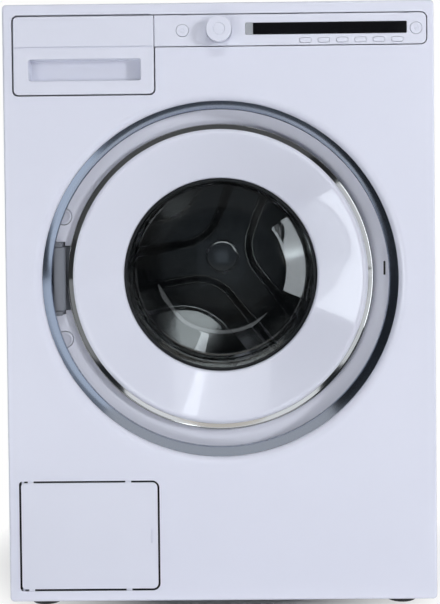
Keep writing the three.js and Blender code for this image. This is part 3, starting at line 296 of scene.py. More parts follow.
def rectangle(left, right, low, high, radii):
    """Gives, for an inset, a rectangle with rounded corners, from the lower left one on."""
    def loop(inset):
        sides = [(left + inset, 1, low + inset, 1), (right - inset, -1, low + inset, 1),
                 (right - inset, -1, high - inset, -1), (left + inset, 1, high - inset, -1)]
        line = []
        for i, ((x, inward, z, upward), radius) in enumerate(zip(sides, radii)):
            radius = max(radius - inset, least_radius)
            start = math.pi + i * math.pi / 2
            middle_x, middle_z = x + inward * radius, z + upward * radius
            line += arc(radius, start, start + math.pi / 2, middle_x, middle_z, corner_steps)
        return line
    return loop


def edges(near, far, front_radius, rear_radius=0.0, steps=edge_steps):
    """(inset, depth) from the near face to the far one, with both edges rounded."""
    turns = [math.pi / 2 * k / steps for k in range(steps + 1)]
    layers = [(front_radius * (1 - math.sin(a)), near + front_radius * (1 - math.cos(a))) for a in turns]
    if rear_radius == 0:
        return layers + [(0.0, far)]
    return layers + [(rear_radius * (1 - math.cos(a)), far - rear_radius * (1 - math.sin(a))) for a in turns]


def skin(name, loops):
    """Closed loops of as many points each, joined one to the next and capped at both ends."""
    count = len(loops[0])
    verts = [v for loop in loops for v in loop]
    faces = [list(range(count)), list(range(len(verts) - count, len(verts)))]
    for k in range(len(loops) - 1):
        for i in range(count):
            j = (i + 1) % count
            faces.append([k * count + i, k * count + j, (k + 1) * count + j, (k + 1) * count + i])
    return mesh_object(name, verts, faces)


def stack(name, outline, layers):
    """Loops of one outline, each with an inset and a depth, skinned from the front to the back."""
    return skin(name, [[(x, depth, z) for x, z in outline(inset)] for inset, depth in layers])


def block(name, left, right, near, far, low, high, radius=least_radius):
    return stack(name, rectangle(left, right, low, high, [radius] * 4), [(0.0, near), (0.0, far)])


def cutter(outline, far, inset=0.0):
    """An outline cut from before the front back to a depth."""
    return stack("cutter", outline, [(inset, -overrun), (inset, far)])


def drill(x, z, radius, near, far, steps=round_steps):
    return lathe("drill", [(0, near), (radius, near), (radius, far), (0, far)], x, z, steps)


def applied(obj, spent=()):
    """The object with its modifiers made real, and the tools it used taken away."""
    bpy.context.view_layer.update()
    seen = obj.evaluated_get(bpy.context.evaluated_depsgraph_get())
    mesh = bpy.data.meshes.new_from_object(seen)
    obj.modifiers.clear()
    obj.data = mesh
    for tool in spent:
        bpy.data.objects.remove(tool)
    return obj


def combine(base, tools, operation):
    for tool in tools:
        step = base.modifiers.new(operation.lower(), "BOOLEAN")
        step.operation = operation
        step.solver = "EXACT"
        step.object = tool
    return applied(base, tools)


def carve(base, *tools):
    return combine(base, tools, "DIFFERENCE")


def weld(base, *parts):
    return combine(base, parts, "UNION")


# Smooth shading with creases, for new pieces and kept CAD nodes alike

crease_angle = math.radians(33)
flat_angle = math.radians(0.5)
bevel_angle = math.radians(40)
bevel_segments = 3
welded_gap = 0.02


def crease_group(limit):
    group = bpy.data.node_groups.new("creases", "GeometryNodeTree")
    for way in ("INPUT", "OUTPUT"):
        group.interface.new_socket("Geometry", in_out=way, socket_type="NodeSocketGeometry")
    enter, leave = group.nodes.new("NodeGroupInput"), group.nodes.new("NodeGroupOutput")
    soften = group.nodes.new("GeometryNodeSetShadeSmooth")
    harden = group.nodes.new("GeometryNodeSetShadeSmooth")
    harden.domain = "EDGE"
    harden.inputs["Shade Smooth"].default_value = False
    angle = group.nodes.new("GeometryNodeInputMeshEdgeAngle")
    steep = group.nodes.new("FunctionNodeCompare")
    steep.operation = "GREATER_THAN"
    steep.inputs["B"].default_value = limit
    group.links.new(angle.outputs["Unsigned Angle"], steep.inputs["A"])
    group.links.new(enter.outputs[0], soften.inputs["Geometry"])
    group.links.new(soften.outputs["Geometry"], harden.inputs["Geometry"])
    group.links.new(steep.outputs["Result"], harden.inputs["Selection"])
    group.links.new(harden.outputs["Geometry"], leave.inputs[0])
    return group


creases = crease_group(crease_angle)


def tidy_cad(obj):
    """Joins a CAD mesh's corners and drops its flat inner edges, by modifiers."""
    for name in ("custom_normal", "sharp_edge", "sharp_face"):
        attribute = obj.data.attributes.get(name)
        if attribute:
            obj.data.attributes.remove(attribute)
    join = obj.modifiers.new("weld", "WELD")
    join.merge_threshold = welded_gap * MM
    flat = obj.modifiers.new("flat", "DECIMATE")
    flat.decimate_type = "DISSOLVE"
    flat.angle_limit = flat_angle


def dress(obj, slot, edge=0.0):
    """Gives a piece its finish, a rounded edge and smooth shading between creases."""
    obj.data.materials.clear()
    obj.data.materials.append(finishes[slot])
    if edge > 0:
        bevel = obj.modifiers.new("edge", "BEVEL")
        bevel.width = edge * MM
        bevel.segments = bevel_segments
        bevel.limit_method = "ANGLE"
        bevel.angle_limit = bevel_angle
        bevel.use_clamp_overlap = True
    shade = obj.modifiers.new("creases", "NODES")
    shade.node_group = creases
    even = obj.modifiers.new("even", "WEIGHTED_NORMAL")
    even.keep_sharp = True


def piece(obj, body, slot, *replaced, edge=0.0, look=None):
    dress(obj, look or slot, edge)
    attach(obj, body)
    if replaced:
        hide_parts(*replaced)
    return obj


# Front panel: folded sheet with a soft shoulder round the recess, and ears for the flap's pins

sheet = 1.5
panel_flange = 24.0
panel_corner = 6.0
panel_front_edge, panel_rear_edge, panel_inner_edge = 4.0, 0.6, 2.5
panel_edge_steps = 6
fold_share = 0.4
panel_bevel = 0.35
through = 40.0
shoulder_radius = 260.0
recess_radius = 247.5
shoulder_depth = 8.0
shoulder_steps = 18
shoulder_lap, recess_flare = 2.0, 3.0

# The drawer and the fascia as the CAD has them, with their shared seam and the drawer's foot moved a little
seam_shift, drawer_lift = 2.0, 2.5
cad_drawer, cad_fascia = extent("drawer_front"), extent("control_fascia")
drawer_left, drawer_right = cad_drawer[0], cad_drawer[1] - seam_shift
drawer_low, drawer_high = cad_drawer[4] + drawer_lift, cad_drawer[5]
fascia_left, fascia_right = cad_fascia[0] - seam_shift, cad_fascia[1]
fascia_far, fascia_low, fascia_high = cad_fascia[3:]
drawer_gap, drawer_hole_corner = 1.9, 8.2
fascia_gap, fascia_hole_corner, fascia_lap = 1.3, 9.2, 9.0

flap_left, flap_right, flap_low, flap_high = -280.1, -90.3, 38.0, 186.4
flap_seam = 2.8
flap_corner, hinged_corner = 7.5, 5.0
flap_pin_x, flap_pin_depth = -278.0, 5.0
ear_half, ear_height, ear_corner, ear_bevel = 5.0, 7.0, 0.5, 0.4
pin_hole_half = 2.0


def shoulder(offset):
    """The roll from the flat front into the recess, or its back one offset behind."""
    run = shoulder_radius - recess_radius
    radius = (run ** 2 + shoulder_depth ** 2) / (2 * shoulder_depth)
    turns = [math.asin(run / radius) * k / shoulder_steps for k in range(shoulder_steps + 1)]
    inner = radius - offset
    return [(shoulder_radius - inner * math.sin(a), radius - inner * math.cos(a)) for a in turns]


def panel_shell():
    left, right, _, _, low, high = extent("front_panel")
    outer = rectangle(left, right, low, high, [panel_corner] * 4)
    layers = edges(0.0, panel_flange, panel_front_edge, panel_rear_edge, panel_edge_steps)
    shell = stack("front_panel_fine", outer, layers)
    fold = panel_inner_edge * fold_share
    hollow = stack("hollow", outer, [(sheet + panel_inner_edge, sheet), (sheet + fold, sheet + fold),
                                     (sheet, sheet + panel_inner_edge), (sheet, panel_flange + overrun)])
    back = shoulder(sheet)
    inside, outside = recess_radius - overrun, shoulder_radius + shoulder_lap
    roll = [(inside, -overrun), (outside, -overrun), (outside, sheet)] + back + [(inside, back[-1][1])]
    return carve(shell, carve(hollow, lathe("roll", roll)))


def flap_pin(half, low, high, corner):
    return block("pin", flap_pin_x - half, flap_pin_x + half, flap_pin_depth - half, flap_pin_depth + half,
                 low, high, corner)


def flap_ears():
    reach = flap_seam + seat
    for i, low in enumerate((flap_low - reach - ear_height, flap_high + reach)):
        ear = block("flap_ear_%d" % (i + 1), flap_pin_x - ear_half, flap_pin_x + ear_half, sheet,
                    flap_pin_depth + ear_half, low, low + ear_height, ear_corner)
        pin_hole = flap_pin(pin_hole_half, low - overrun, low + ear_height + overrun, ear_corner)
        piece(carve(ear, pin_hole), "cabinet", "white_paint", edge=ear_bevel)


def front_panel():
    mouth = [(0, -overrun), (shoulder_radius + recess_flare, -overrun), (shoulder_radius, 0)]
    recess = lathe("recess", mouth + shoulder(0)[1:] + [(recess_radius, through), (0, through)])
    drawer_hole = rectangle(drawer_left - drawer_gap, drawer_right + drawer_gap, drawer_low - drawer_gap,
                            drawer_high + drawer_gap, [drawer_hole_corner] * 4)
    fascia_hole = rectangle(fascia_left - fascia_lap, fascia_right + fascia_gap, fascia_low - fascia_gap,
                            fascia_high + fascia_gap, [fascia_hole_corner] * 4)
    tight = hinged_corner - flap_seam
    flap_hole = rectangle(flap_left, flap_right, flap_low, flap_high,
                          [tight, flap_corner, flap_corner, tight])
    panel = carve(panel_shell(), recess, cutter(drawer_hole, through), cutter(fascia_hole, through),
                  cutter(flap_hole, through, -flap_seam))
    piece(panel, "cabinet", "white_paint", "front_panel", edge=panel_bevel)
    flap_ears()


front_panel()


# Grey ring, in profile from its outer edge, with a collar behind the panel

ring_inner, ring_outer = 236.0, recess_radius - seat
ring_far = 23.0
ring_face = [(ring_outer, shoulder_depth), (ring_outer - 5.2, 12.3), (ring_inner + 0.9, 17.4),
             (ring_inner, 18.6)]
ring_reaches = [0, 4.0, 0.8, 0]
ring_steps = 6
collar_near, collar_far, collar_reach = 11.0, 14.0, 0.4


def recess_ring():
    profile = rounded(ring_face, ring_reaches, closed=False, steps=ring_steps)
    profile += rounded([(ring_inner, ring_far), (ring_outer, collar_far), (shoulder_radius, collar_far),
                        (shoulder_radius, collar_near), (ring_outer, collar_near)], collar_reach)
    piece(lathe("recess_ring_fine", profile), "cabinet", "trim_grey", "recess_ring")


# Surround: a bowl with a slot for the lock, a hook hole, a pocket for the hinge and two screw caps

surround_path = [(200, 75.1), (200, 55.1), (217.7, 52.6), (ring_inner, 47.6), (253.75, 40.1),
                 (260.3, ring_far), (260.3, 1.8)]
surround_reaches = [0, 4, 8, 9, 7, 6, 0]
surround_steps = 8
surround_wall, surround_bevel = 2.5, 0.3
hole_corner = 0.8
slot_left, slot_right, slot_near, slot_far, slot_height = 231.5, 234.5, 20, 56, 20
hook_left, hook_right, hook_near, hook_half = 202.8, 214.4, 42, 12
hinge_x = -229.0
pocket_left, pocket_right, pocket_corner = hinge_x - 17, hinge_x + 42, 1.0
pocket_near, base_near, pocket_far = 23, 58, 78
ears_right, ears_half = hinge_x + 8.1, 51.8
arm_half, arm_play = 44.7, 1.2
cap_place, cap_angle = 239.0, math.radians(21.5)
cap_near, cap_far, cap_radius = 43.4, 52, 11.5
cap_profile = [(0, cap_near + 0.5), (7.5, cap_near + 0.5), (8.3, cap_near), (10.6, cap_near),
               (cap_radius, cap_near + 0.9), (cap_radius, cap_far), (0, cap_far)]
cap_reaches = [0, 0.4, 0.4, 0.5, 0.5, 0, 0]
cap_hole_radius, cap_hole_near, cap_hole_far = cap_radius + 0.9, 25, 70


def hinge_pockets():
    """Close round the arm and the bracket's ears in front, and wide behind."""
    tall = arm_half + arm_play
    rooms = [(ears_right, pocket_near, ears_half), (pocket_right, pocket_near, tall),
             (pocket_right, base_near, ears_half)]
    return [block("pocket", pocket_left, right, near, pocket_far, axis_z - half, axis_z + half, pocket_corner)
            for right, near, half in rooms]


def door_surround():
    path = rounded(surround_path, surround_reaches, closed=False, steps=surround_steps)
    bowl = lathe("door_surround_fine", walled(path, surround_wall))
    slot = block("slot", slot_left, slot_right, slot_near, slot_far, axis_z, axis_z + slot_height,
                 hole_corner)
    hook = block("hook", hook_left, hook_right, hook_near, pocket_far, axis_z - hook_half, axis_z + hook_half,
                 hole_corner)
    x = -cap_place * math.cos(cap_angle)
    heights = [axis_z + side * cap_place * math.sin(cap_angle) for side in (-1, 1)]
    holes = [drill(x, z, cap_hole_radius, cap_hole_near, cap_hole_far) for z in heights]
    bowl = carve(bowl, slot, *hinge_pockets(), hook, *holes)
    piece(bowl, "cabinet", "white_plastic", "door_surround", edge=surround_bevel)
    for i, z in enumerate(heights):
        cap = lathe("screw_cap_%d" % (i + 1), rounded(cap_profile, cap_reaches), x, z, round_steps)
        piece(cap, "cabinet", "white_plastic")


recess_ring()
door_surround()


# Door: chrome ring, dished ring, grip rib, gasket, glass and clamp ring

chrome_inner, chrome_rim, chrome_far = 208.8, ring_high.x / MM - 0.7, 47.0
chrome_profile = [(chrome_inner, chrome_far), (chrome_inner, 43.2), (chrome_inner + 0.5, 42.5),
                  (chrome_rim - 1.9, 39.0), (chrome_rim - 0.9, 38.7), (chrome_rim, 39.8),
                  (chrome_rim, chrome_far)]
chrome_reaches = [0.3, 0.5, 0.6, 1.0, 0.7, 1.0, 0.3]

dish_outer, dish_front = 208.5, 42.75
port_radius, port_depth = 142.5, 74.75
door_wall = 2.8
slope_shares = (0.356, 0.712)
dish_rim = [(dish_outer - 6.2, dish_front + 1.0), (dish_outer - 3.4, dish_front),
            (dish_outer, dish_front + 2.6), (dish_outer, 47.3), (216.3, 47.3)]
dish_reaches = [0, 2.2, 14, 14, 1.2, 1.6, 0.8, 0.4, 0]
dish_steps = 10

gasket_profile = [(135.4, 79.7), (135.4, 77.4), (136.6, 76.0), (138.3, 76.4), (138.9, 78.0), (139.9, 75.6),
                  (141.4, 74.9), (142.3, 75.8), (142.3, 79.7)]
gasket_reach = 0.7

glass_path = [(0, 166.05), (94, 165.6), (131.5, 149.6), (135.2, 132), (138.4, 84.55), (159.5, 84.55)]
glass_reaches = [0, 8, 5, 8, 3.0, 0]
glass_steps, glass_wall = 14, 3.2
clamp_profile = [(196, 54.4), (196, 81.1), (163.3, 88.1), (146, 88.1), (146, 84.9), (159.8, 84.9),
                 (159.8, 72.0)]
clamp_reach = 1.2


def chrome_ring():
    piece(lathe("chrome_ring_fine", rounded(chrome_profile, chrome_reaches)), "door", "chrome", "chrome_ring")


def door_frame():
    third = (dish_outer - port_radius) / 3
    drop = port_depth - dish_front
    slope = [(port_radius + (i + 1) * third, port_depth - drop * share)
             for i, share in enumerate(slope_shares)]
    path = [(port_radius, port_depth + overrun), (port_radius, port_depth)] + slope + dish_rim
    path = rounded(path, dish_reaches, closed=False, steps=dish_steps)
    piece(lathe("door_dish", walled(path, door_wall)), "door", "gloss_white", "door_frame")
    piece(lathe("porthole_gasket", rounded(gasket_profile, gasket_reach)), "door", "seal_rubber")


rib_radius, rib_half_width, rib_proud = 201.0, 2.5, 2.0
rib_start, rib_end = math.radians(16), math.radians(76)
rib_steps, rib_sides = 120, 12
rib_slope, sunk_share = 0.46, 0.4


def grip_rib():
    """A bead along an arc of the dished ring, for the fingers."""
    drop = port_depth - dish_front
    base = dish_front + drop * (dish_outer - rib_radius) / (dish_outer - port_radius) + seat
    loops = []
    for i in range(rib_steps + 1):
        angle = rib_start + (rib_end - rib_start) * i / rib_steps
        from_end = min(i, rib_steps - i) / rib_steps * (rib_end - rib_start) * rib_radius
        taper = math.sqrt(max(0.0, 1 - max(0.0, 1 - from_end / rib_half_width) ** 2))
        loop = []
        for k in range(rib_sides):
            turn = 2 * math.pi * k / rib_sides
            aside = rib_half_width * taper * math.cos(turn)
            lift = rib_proud * taper * math.sin(turn)
            depth = base - rib_slope * aside - (lift if lift > 0 else lift * sunk_share)
            radius = rib_radius + aside
            loop.append((radius * math.cos(angle), depth, axis_z + radius * math.sin(angle)))
        loops.append(loop)
    piece(skin("grip_rib", loops), "door", "gloss_white")


def door_glass():
    profile = walled(rounded(glass_path, glass_reaches, closed=False, steps=glass_steps), -glass_wall)
    profile[-1] = (0, profile[-1][1])
    piece(lathe("door_glass_fine", profile), "door", "door_glass", "door_glass")
    clamp = lathe("clamp_ring", rounded(clamp_profile, clamp_reach))
    piece(clamp, "door", "dark_plastic", "door_inner_frame")


# Hinge: the arm's outline from above, measured sideways from its pin, and the bracket that holds the pin

arm_outline = [(-6.6, 27.2), (-2.0, 26.4), (5.0, 27.6), (9.3, 31.0), (9.8, 38.0), (9.0, 50.6), (37.5, 50.6),
               (37.5, 55.9), (7.0, 55.9), (4.6, 44.0), (-3.0, 39.0), (-6.6, 34.0)]
arm_reaches = [2, 4, 4, 4, 3, 2, 0.5, 0.5, 3, 3, 3, 2]
arm_depth, arm_end, arm_bevel = 33.0, 1.2, 0.3
arm_trim_radius, arm_trim_near, arm_trim_far = 196.4, 20, 90
bracket_bevel = 0.5


def hinge():
    outline = rounded([(hinge_x + x, depth) for x, depth in arm_outline], arm_reaches)
    outline = [Vector(point) for point in outline]
    tip = arm_end / 3
    layers = [(-arm_half, arm_end), (tip - arm_half, tip), (arm_end - arm_half, 0.0)]
    layers += [(-z, inset) for z, inset in reversed(layers)]
    centre = Vector((hinge_x, arm_depth))
    loops = []
    for z, inset in layers:
        aways = [point - centre for point in outline]
        loop = [point - away.normalized() * min(inset, away.length / 2)
                for point, away in zip(outline, aways)]
        loops.append([(x, depth, axis_z + z) for x, depth in loop])
    arm = skin("hinge_arm_fine", loops)
    trim = drill(0, axis_z, arm_trim_radius, arm_trim_near, arm_trim_far, fine_steps)
    # The arm and the bracket are grey plastic, drawn in a darker grey as painted shade for their pocket
    piece(carve(arm, trim), "door", "grey_plastic", "hinge_arm", edge=arm_bevel, look="hinge_grey_painted_shade")
    bracket = link(bpy.data.objects.new("hinge_bracket_fine", cad_nodes["hinge_bracket"].data.copy()))
    tidy_cad(bracket)
    piece(bracket, "cabinet", "grey_plastic", "hinge_bracket", edge=bracket_bevel, look="hinge_grey_painted_shade")


chrome_ring()
door_frame()
grip_rib()
door_glass()
hinge()


# Seal and drum behind the glass

seal_profile = [(151.5, 90.9), (154.5, 90.6), (172.5, 95.6), (172.5, 99.6), (166.2, 99.6), (166.2, 108.9),
                (162.5, 108.9), (159.5, 99.9), (151.5, 94.6)]
seal_reach = 1.2
drum_radius, drum_wall = 233.8, 1.5
drum_near, wall_near, drum_far = 111.4, 138.0, 431.4
mouth_path = [(165.8, drum_near), (188.5, 112.9), (229.8, 123.4), (drum_radius, 129.4),
              (drum_radius, wall_near)]
mouth_reaches = [0, 8, 4, 3, 0]
mouth_steps = 6
cells_round, cell_rows, cell_sides = 108, 22, 8
hole_radius, dimple_depth, dimple_radius = 1.9, 0.9, 3.2
merged_gap = 0.05


def tub_seal():
    piece(lathe("tub_seal_fine", rounded(seal_profile, seal_reach)), "tub", "seal_rubber", "tub_seal")


def drum_shell():
    path = rounded(mouth_path, mouth_reaches, closed=False, steps=mouth_steps)
    piece(lathe("drum_mouth", walled(path, drum_wall)), "drum", "stainless", "drum_shell")
    piece(perforated_wall(), "drum", "stainless")


def perforated_wall():
    """The drum's round wall, with a pressed dimple and a hole in the middle of each cell."""
    inner = drum_radius - drum_wall
    half_angle = math.pi / cells_round
    half_depth = (drum_far - wall_near) / cell_rows / 2
    verts, faces = [], []

    def ring(angle, depth, reach_round, reach_back, radius, pushed=False):
        start = len(verts)
        for k in range(cell_sides):
            turn = 2 * math.pi * k / cell_sides
            dx, dy = math.cos(turn), math.sin(turn)
            push = 1 / max(abs(dx), abs(dy)) if pushed else 1
            spot = angle + dx * push * reach_round
            verts.append((radius * math.cos(spot), depth + dy * push * reach_back,
                          axis_z + radius * math.sin(spot)))
        return range(start, start + cell_sides)

    for row in range(cell_rows):
        for column in range(cells_round):
            angle = (2 * column + row % 2) * half_angle
            depth = wall_near + (2 * row + 1) * half_depth
            border = ring(angle, depth, half_angle, half_depth, inner, pushed=True)
            dimple = ring(angle, depth, dimple_radius / inner, dimple_radius, inner)
            bottom = ring(angle, depth, hole_radius / inner, hole_radius, inner + dimple_depth)
            leave = ring(angle, depth, hole_radius / inner, hole_radius, drum_radius)
            for near, far in ((border, dimple), (dimple, bottom), (bottom, leave)):
                for k in range(cell_sides):
                    j = (k + 1) % cell_sides
                    faces.append([near[k], near[j], far[j], far[k]])
    return mesh_object("drum_wall", verts, faces, merged_gap)


# Pressed drum back: three arms, and between them pockets with two steps that rise to the rim

star_front, star_press = 416.4, 12.0
star_arms, star_turn = 3, math.radians(69)
first_half_arm, first_fillet, first_slope = 24, 80, 15
second_half_arm, second_fillet, second_slope, second_press = 74, 100, 5, 2.5
rise_slope, rise_start, most_rise, rise_fade = 0.28, 3, star_press + 8, 30
rim_width, rim_slope = 12, 8
back_rings, back_steps = 130, 360
hub_profile = [(0, 407.6), (23.5, 407.9), (27.6, 408.6), (29.4, 411.5), (29.4, 416.1), (0, 416.1)]
hub_reaches = [0, 2.0, 1.2, 2.0, 0, 0]


def smooth_share(value):
    value = min(1.0, max(0.0, value))
    return value * value * (3 - 2 * value)


def inside_pocket(x, z, middle, half_arm, fillet):
    """How far a point lies inside the line between two arms, whose corner has a fillet."""
    half_angle = math.pi / star_arms
    reach = (fillet + half_arm) / math.sin(half_angle)
    gap = Vector((x, z)) - Vector((reach * math.cos(middle), reach * math.sin(middle)))
    sides = (middle - half_angle, middle + half_angle)
    arms = [Vector((math.cos(side), math.sin(side))) for side in sides]
    if all(gap.dot(arm) < 0 for arm in arms):
        return fillet - gap.length
    return min(arms[0].x * z - arms[0].y * x, arms[1].y * x - arms[1].x * z) - half_arm


def star_depth(x, z, radius, outer):
    """How deep the pressed drum back lies at a point."""
    depth = star_front
    for i in range(star_arms):
        middle = star_turn + 2 * math.pi * (i + 0.5) / star_arms
        first = inside_pocket(x, z, middle, first_half_arm, first_fillet)
        if first <= 0:
            continue
        second = inside_pocket(x, z, middle, second_half_arm, second_fillet)
        depth += star_press * smooth_share(first / first_slope)
        depth -= second_press * smooth_share(second / second_slope)
        rise = min(rise_slope * max(0.0, second - rise_start), most_rise)
        depth -= rise * smooth_share((outer - radius) / rise_fade)
    depth += star_press * smooth_share((radius - outer + rim_width) / rim_slope)
    return min(depth, star_front + star_press)


def drum_back():
    outer = drum_radius - drum_wall - seat
    verts, faces = [(0, star_depth(0, 0, 0, outer), axis_z)], []
    for i in range(1, back_rings + 1):
        radius = outer * i / back_rings
        for k in range(back_steps):
            angle = 2 * math.pi * k / back_steps
            x, z = radius * math.cos(angle), radius * math.sin(angle)
            verts.append((x, star_depth(x, z, radius, outer), axis_z + z))
    last = len(verts) - back_steps
    verts += [(v[0], drum_far - drum_wall, v[2]) for v in verts[last:]]
    for k in range(back_steps):
        j = (k + 1) % back_steps
        faces.append([0, 1 + k, 1 + j])
        for i in range(back_rings):
            a, b = 1 + i * back_steps, 1 + (i + 1) * back_steps
            faces.append([a + k, a + j, b + j, b + k])
    faces.append([last + back_steps + k for k in range(back_steps)])
    piece(mesh_object("drum_back_fine", verts, faces), "drum", "stainless", "drum_back", look="pressed_steel")
    cap = lathe("hub_cap_fine", rounded(hub_profile, hub_reaches), steps=round_steps)
    piece(cap, "drum", "chrome", "hub_cap")


tub_seal()
drum_shell()
drum_back()


# Controls: fascia, lens, knob and buttons

option_nodes = ["option_button_%d" % (i + 1) for i in range(6)]
fascia_wall, fascia_corner, fascia_front_edge, fascia_rear_edge, fascia_bevel = 2.5, 8, 1.0, 0.3, 0.25
hollow_corner, crisp_corner = 5.0, 0.3
button_gap, hole_far = 0.5, 20
button_edge, option_radius_share = 0.4, 0.98
ring_share, ring_cut, ring_side, ring_width = 0.3, 0.4, 0.3, 1.1
button_reaches = [0, 0.15, 0.1, 0.1, 0.15, 0.3, 0, 0]
stem_radius, stem_play = 4.0, 0.3
shadow_inside, shadow_outside, shadow_far = 1.5, 0.8, 1.2
lens_lift, lens_proud, lens_corner = 1.6, 0.3, 1.5
pad_width, pad_gap = 10.4, 0.2
clip_width, clip_reach, clip_far = 11.0, 0.9, 2.0
clips_above = (-52.0, 99.0, 251.0)
clips_below = (-80.0, -52.0, 99.0, 170.0, 243.0)


def middle_of(node):
    left, right, near, far, low, high = extent(node)
    return (left + right) / 2, (low + high) / 2, (right - left) / 2, (high - low) / 2, near, far


def oval(half_width, half_height, x, z):
    return rectangle(x - half_width, x + half_width, z - half_height, z + half_height,
                     [half_height * option_radius_share] * 4)


def fascia_tools():
    """What is cut out of the fascia for its hollow, buttons, knob and clips."""
    tools = [block("hollow", fascia_left + fascia_wall, fascia_right - fascia_wall, fascia_wall,
                   fascia_far + overrun, fascia_low + fascia_wall, fascia_high - fascia_wall, hollow_corner)]
    for node in ("power_button", "start_button"):
        x, z, radius, _, _, _ = middle_of(node)
        tools.append(drill(x, z, radius + button_gap, -overrun, hole_far))
    x, z, radius, _, _, _ = middle_of("program_knob")
    tools.append(drill(x, z, stem_radius + stem_play, -overrun, hole_far))
    inside, outside = radius - shadow_inside, radius + shadow_outside
    tools.append(lathe("shadow_gap", [(inside, -overrun), (outside, -overrun), (outside, shadow_far),
                                      (inside, shadow_far)], x, z, round_steps))
    for node in option_nodes:
        x, z, half_width, half_height, _, _ = middle_of(node)
        tools.append(cutter(oval(half_width + button_gap, half_height + button_gap, x, z), hole_far))
    for edge_z, starts in ((fascia_high, clips_above), (fascia_low, clips_below)):
        for start in starts:
            tools.append(block("clip", start, start + clip_width, -overrun, clip_far, edge_z - clip_reach,
                               edge_z + clip_reach))
    return tools


def fascia_and_lens():
    outline = rectangle(fascia_left, fascia_right, fascia_low, fascia_high,
                        [crisp_corner, fascia_corner, fascia_corner, crisp_corner])
    layers = edges(0.0, fascia_far, fascia_front_edge, fascia_rear_edge)
    body = stack("control_fascia_fine", outline, layers)
    left, right, _, far, low, high = extent("display_lens")
    low, high = low + lens_lift, high + lens_lift
    window = cutter(rectangle(left, right, low, high, [lens_corner] * 4), hole_far, -lens_proud)
    body = carve(body, *fascia_tools(), window)
    piece(body, "cabinet", "white_plastic", "control_fascia", edge=fascia_bevel)
    seam = left + pad_width
    glass = rectangle(seam, right, low, high, [crisp_corner, lens_corner, lens_corner, crisp_corner])
    pad = rectangle(left, seam - pad_gap, low, high, [lens_corner, crisp_corner, crisp_corner, lens_corner])
    layers = edges(-lens_proud, far, lens_proud)
    piece(stack("display_lens_fine", glass, layers), "cabinet", "display_lens", "display_lens")
    piece(stack("display_pad", pad, layers), "cabinet", "grey_plastic")


def buttons():
    for node in option_nodes:
        x, z, half_width, half_height, near, far = middle_of(node)
        cap = stack(node + "_fine", oval(half_width, half_height, x, z), edges(near, far, button_edge))
        piece(cap, node.replace("_button", ""), "white_plastic", node)
    for node, body_name in (("power_button", "power"), ("start_button", "start")):
        x, z, radius, _, near, far = middle_of(node)
        ring, bottom = radius * ring_share, near + ring_cut
        groove = [(ring, near), (ring + ring_side, bottom), (ring + ring_width - ring_side, bottom),
                  (ring + ring_width, near)]
        profile = rounded([(0, near)] + groove + [(radius, near), (radius, far), (0, far)], button_reaches)
        cap = lathe(node + "_fine", profile, x, z, round_steps)
        piece(cap, body_name, "white_plastic", node)


face_share, face_sunk, foot_inset, knob_rear = 0.43, 0.5, 0.4, -0.3
face_rows = [(-0.6, face_sunk), (0, 0.9), (0.5, 0.9), (1.0, 0)]
rim_rows = [(-0.5, 0), (0, 0.8)]
knob_reaches = [0, 0.2, 0.2, 0.2, 0.4, 0.6, 0.6, 0.3, 0, 0.4, 0]
knob_edge_steps, knob_steps = 6, 128


def program_knob():
    x, z, radius, _, near, far = middle_of("program_knob")
    ring = radius * face_share
    face = [(0, near + face_sunk)] + [(ring + out, near + back) for out, back in face_rows]
    rim = [(radius + out, near + back) for out, back in rim_rows] + [(radius - foot_inset, knob_rear)]
    stem = [(stem_radius, knob_rear), (stem_radius, far), (0, far)]
    profile = rounded(face + rim + stem, knob_reaches, steps=knob_edge_steps)
    knob = lathe("program_knob_fine", profile, x, z, knob_steps)
    piece(knob, "knob", "white_plastic", "program_knob")


fascia_and_lens()
buttons()
program_knob()


# Drawer front: a hollow shell with a groove in line with the fascia's foot, and a box for the finger recess

drawer_far, drawer_wall = 24.0, 3.0
drawer_corner, drawer_seam_corner, drawer_inner_corner = 7, 0.4, 4.0
drawer_front_edge, drawer_rear_edge, drawer_bevel = 1.5, 0.3, 0.3
hand_starts, hand_ends = (21.3, 19.1), (175.7, 48.6)
hand_corner, hand_box_near, hand_box_far, hand_box_above, hand_box_corner = 3.0, 1.5, 21, 10, 2.0
hand_layers = [(-1.2, -1.2), (0.0, 1.0), (0.0, 15.5), (0.9, 17.2), (2.5, 18.0)]
undercut_near, undercut_far, undercut_above, undercut_corner = 3.0, 15.0, 7, 1.0
groove_far, groove_below, groove_above, groove_corner = 1.6, 0.4, 1.3, 0.1


def drawer_front():
    left, right, low, high = drawer_left, drawer_right, drawer_low, drawer_high
    outline = rectangle(left, right, low, high,
                        [drawer_corner, drawer_corner, drawer_seam_corner, drawer_corner])
    body = stack("drawer_front_fine", outline, edges(0.0, drawer_far, drawer_front_edge, drawer_rear_edge))
    hollow = block("hollow", left + drawer_wall, right - drawer_wall, drawer_wall, drawer_far + overrun,
                   low + drawer_wall, high - drawer_wall, drawer_inner_corner)
    body = carve(body, hollow)
    hand_left, hand_low = left + hand_starts[0], low + hand_starts[1]
    hand_right, hand_high = left + hand_ends[0], low + hand_ends[1]
    box = block("box", hand_left - drawer_wall, hand_right + drawer_wall, hand_box_near, hand_box_far,
                hand_low - drawer_wall, hand_high + hand_box_above, hand_box_corner)
    mouth = rectangle(hand_left, hand_right, hand_low, hand_high, [hand_corner] * 4)
    recess = stack("recess", mouth, hand_layers)
    undercut = block("undercut", hand_left + drawer_wall, hand_right - drawer_wall, undercut_near,
                     undercut_far, hand_high - drawer_wall, hand_high + undercut_above, undercut_corner)
    groove = block("groove", left - overrun, right + overrun, -overrun, groove_far, fascia_low - groove_below,
                   fascia_low + groove_above, groove_corner)
    body = carve(weld(body, box), recess, undercut, groove)
    piece(body, "drawer", "white_plastic", "drawer_front", edge=drawer_bevel)


drawer_front()


# Service flap with its nubs, notch, knuckles and pins

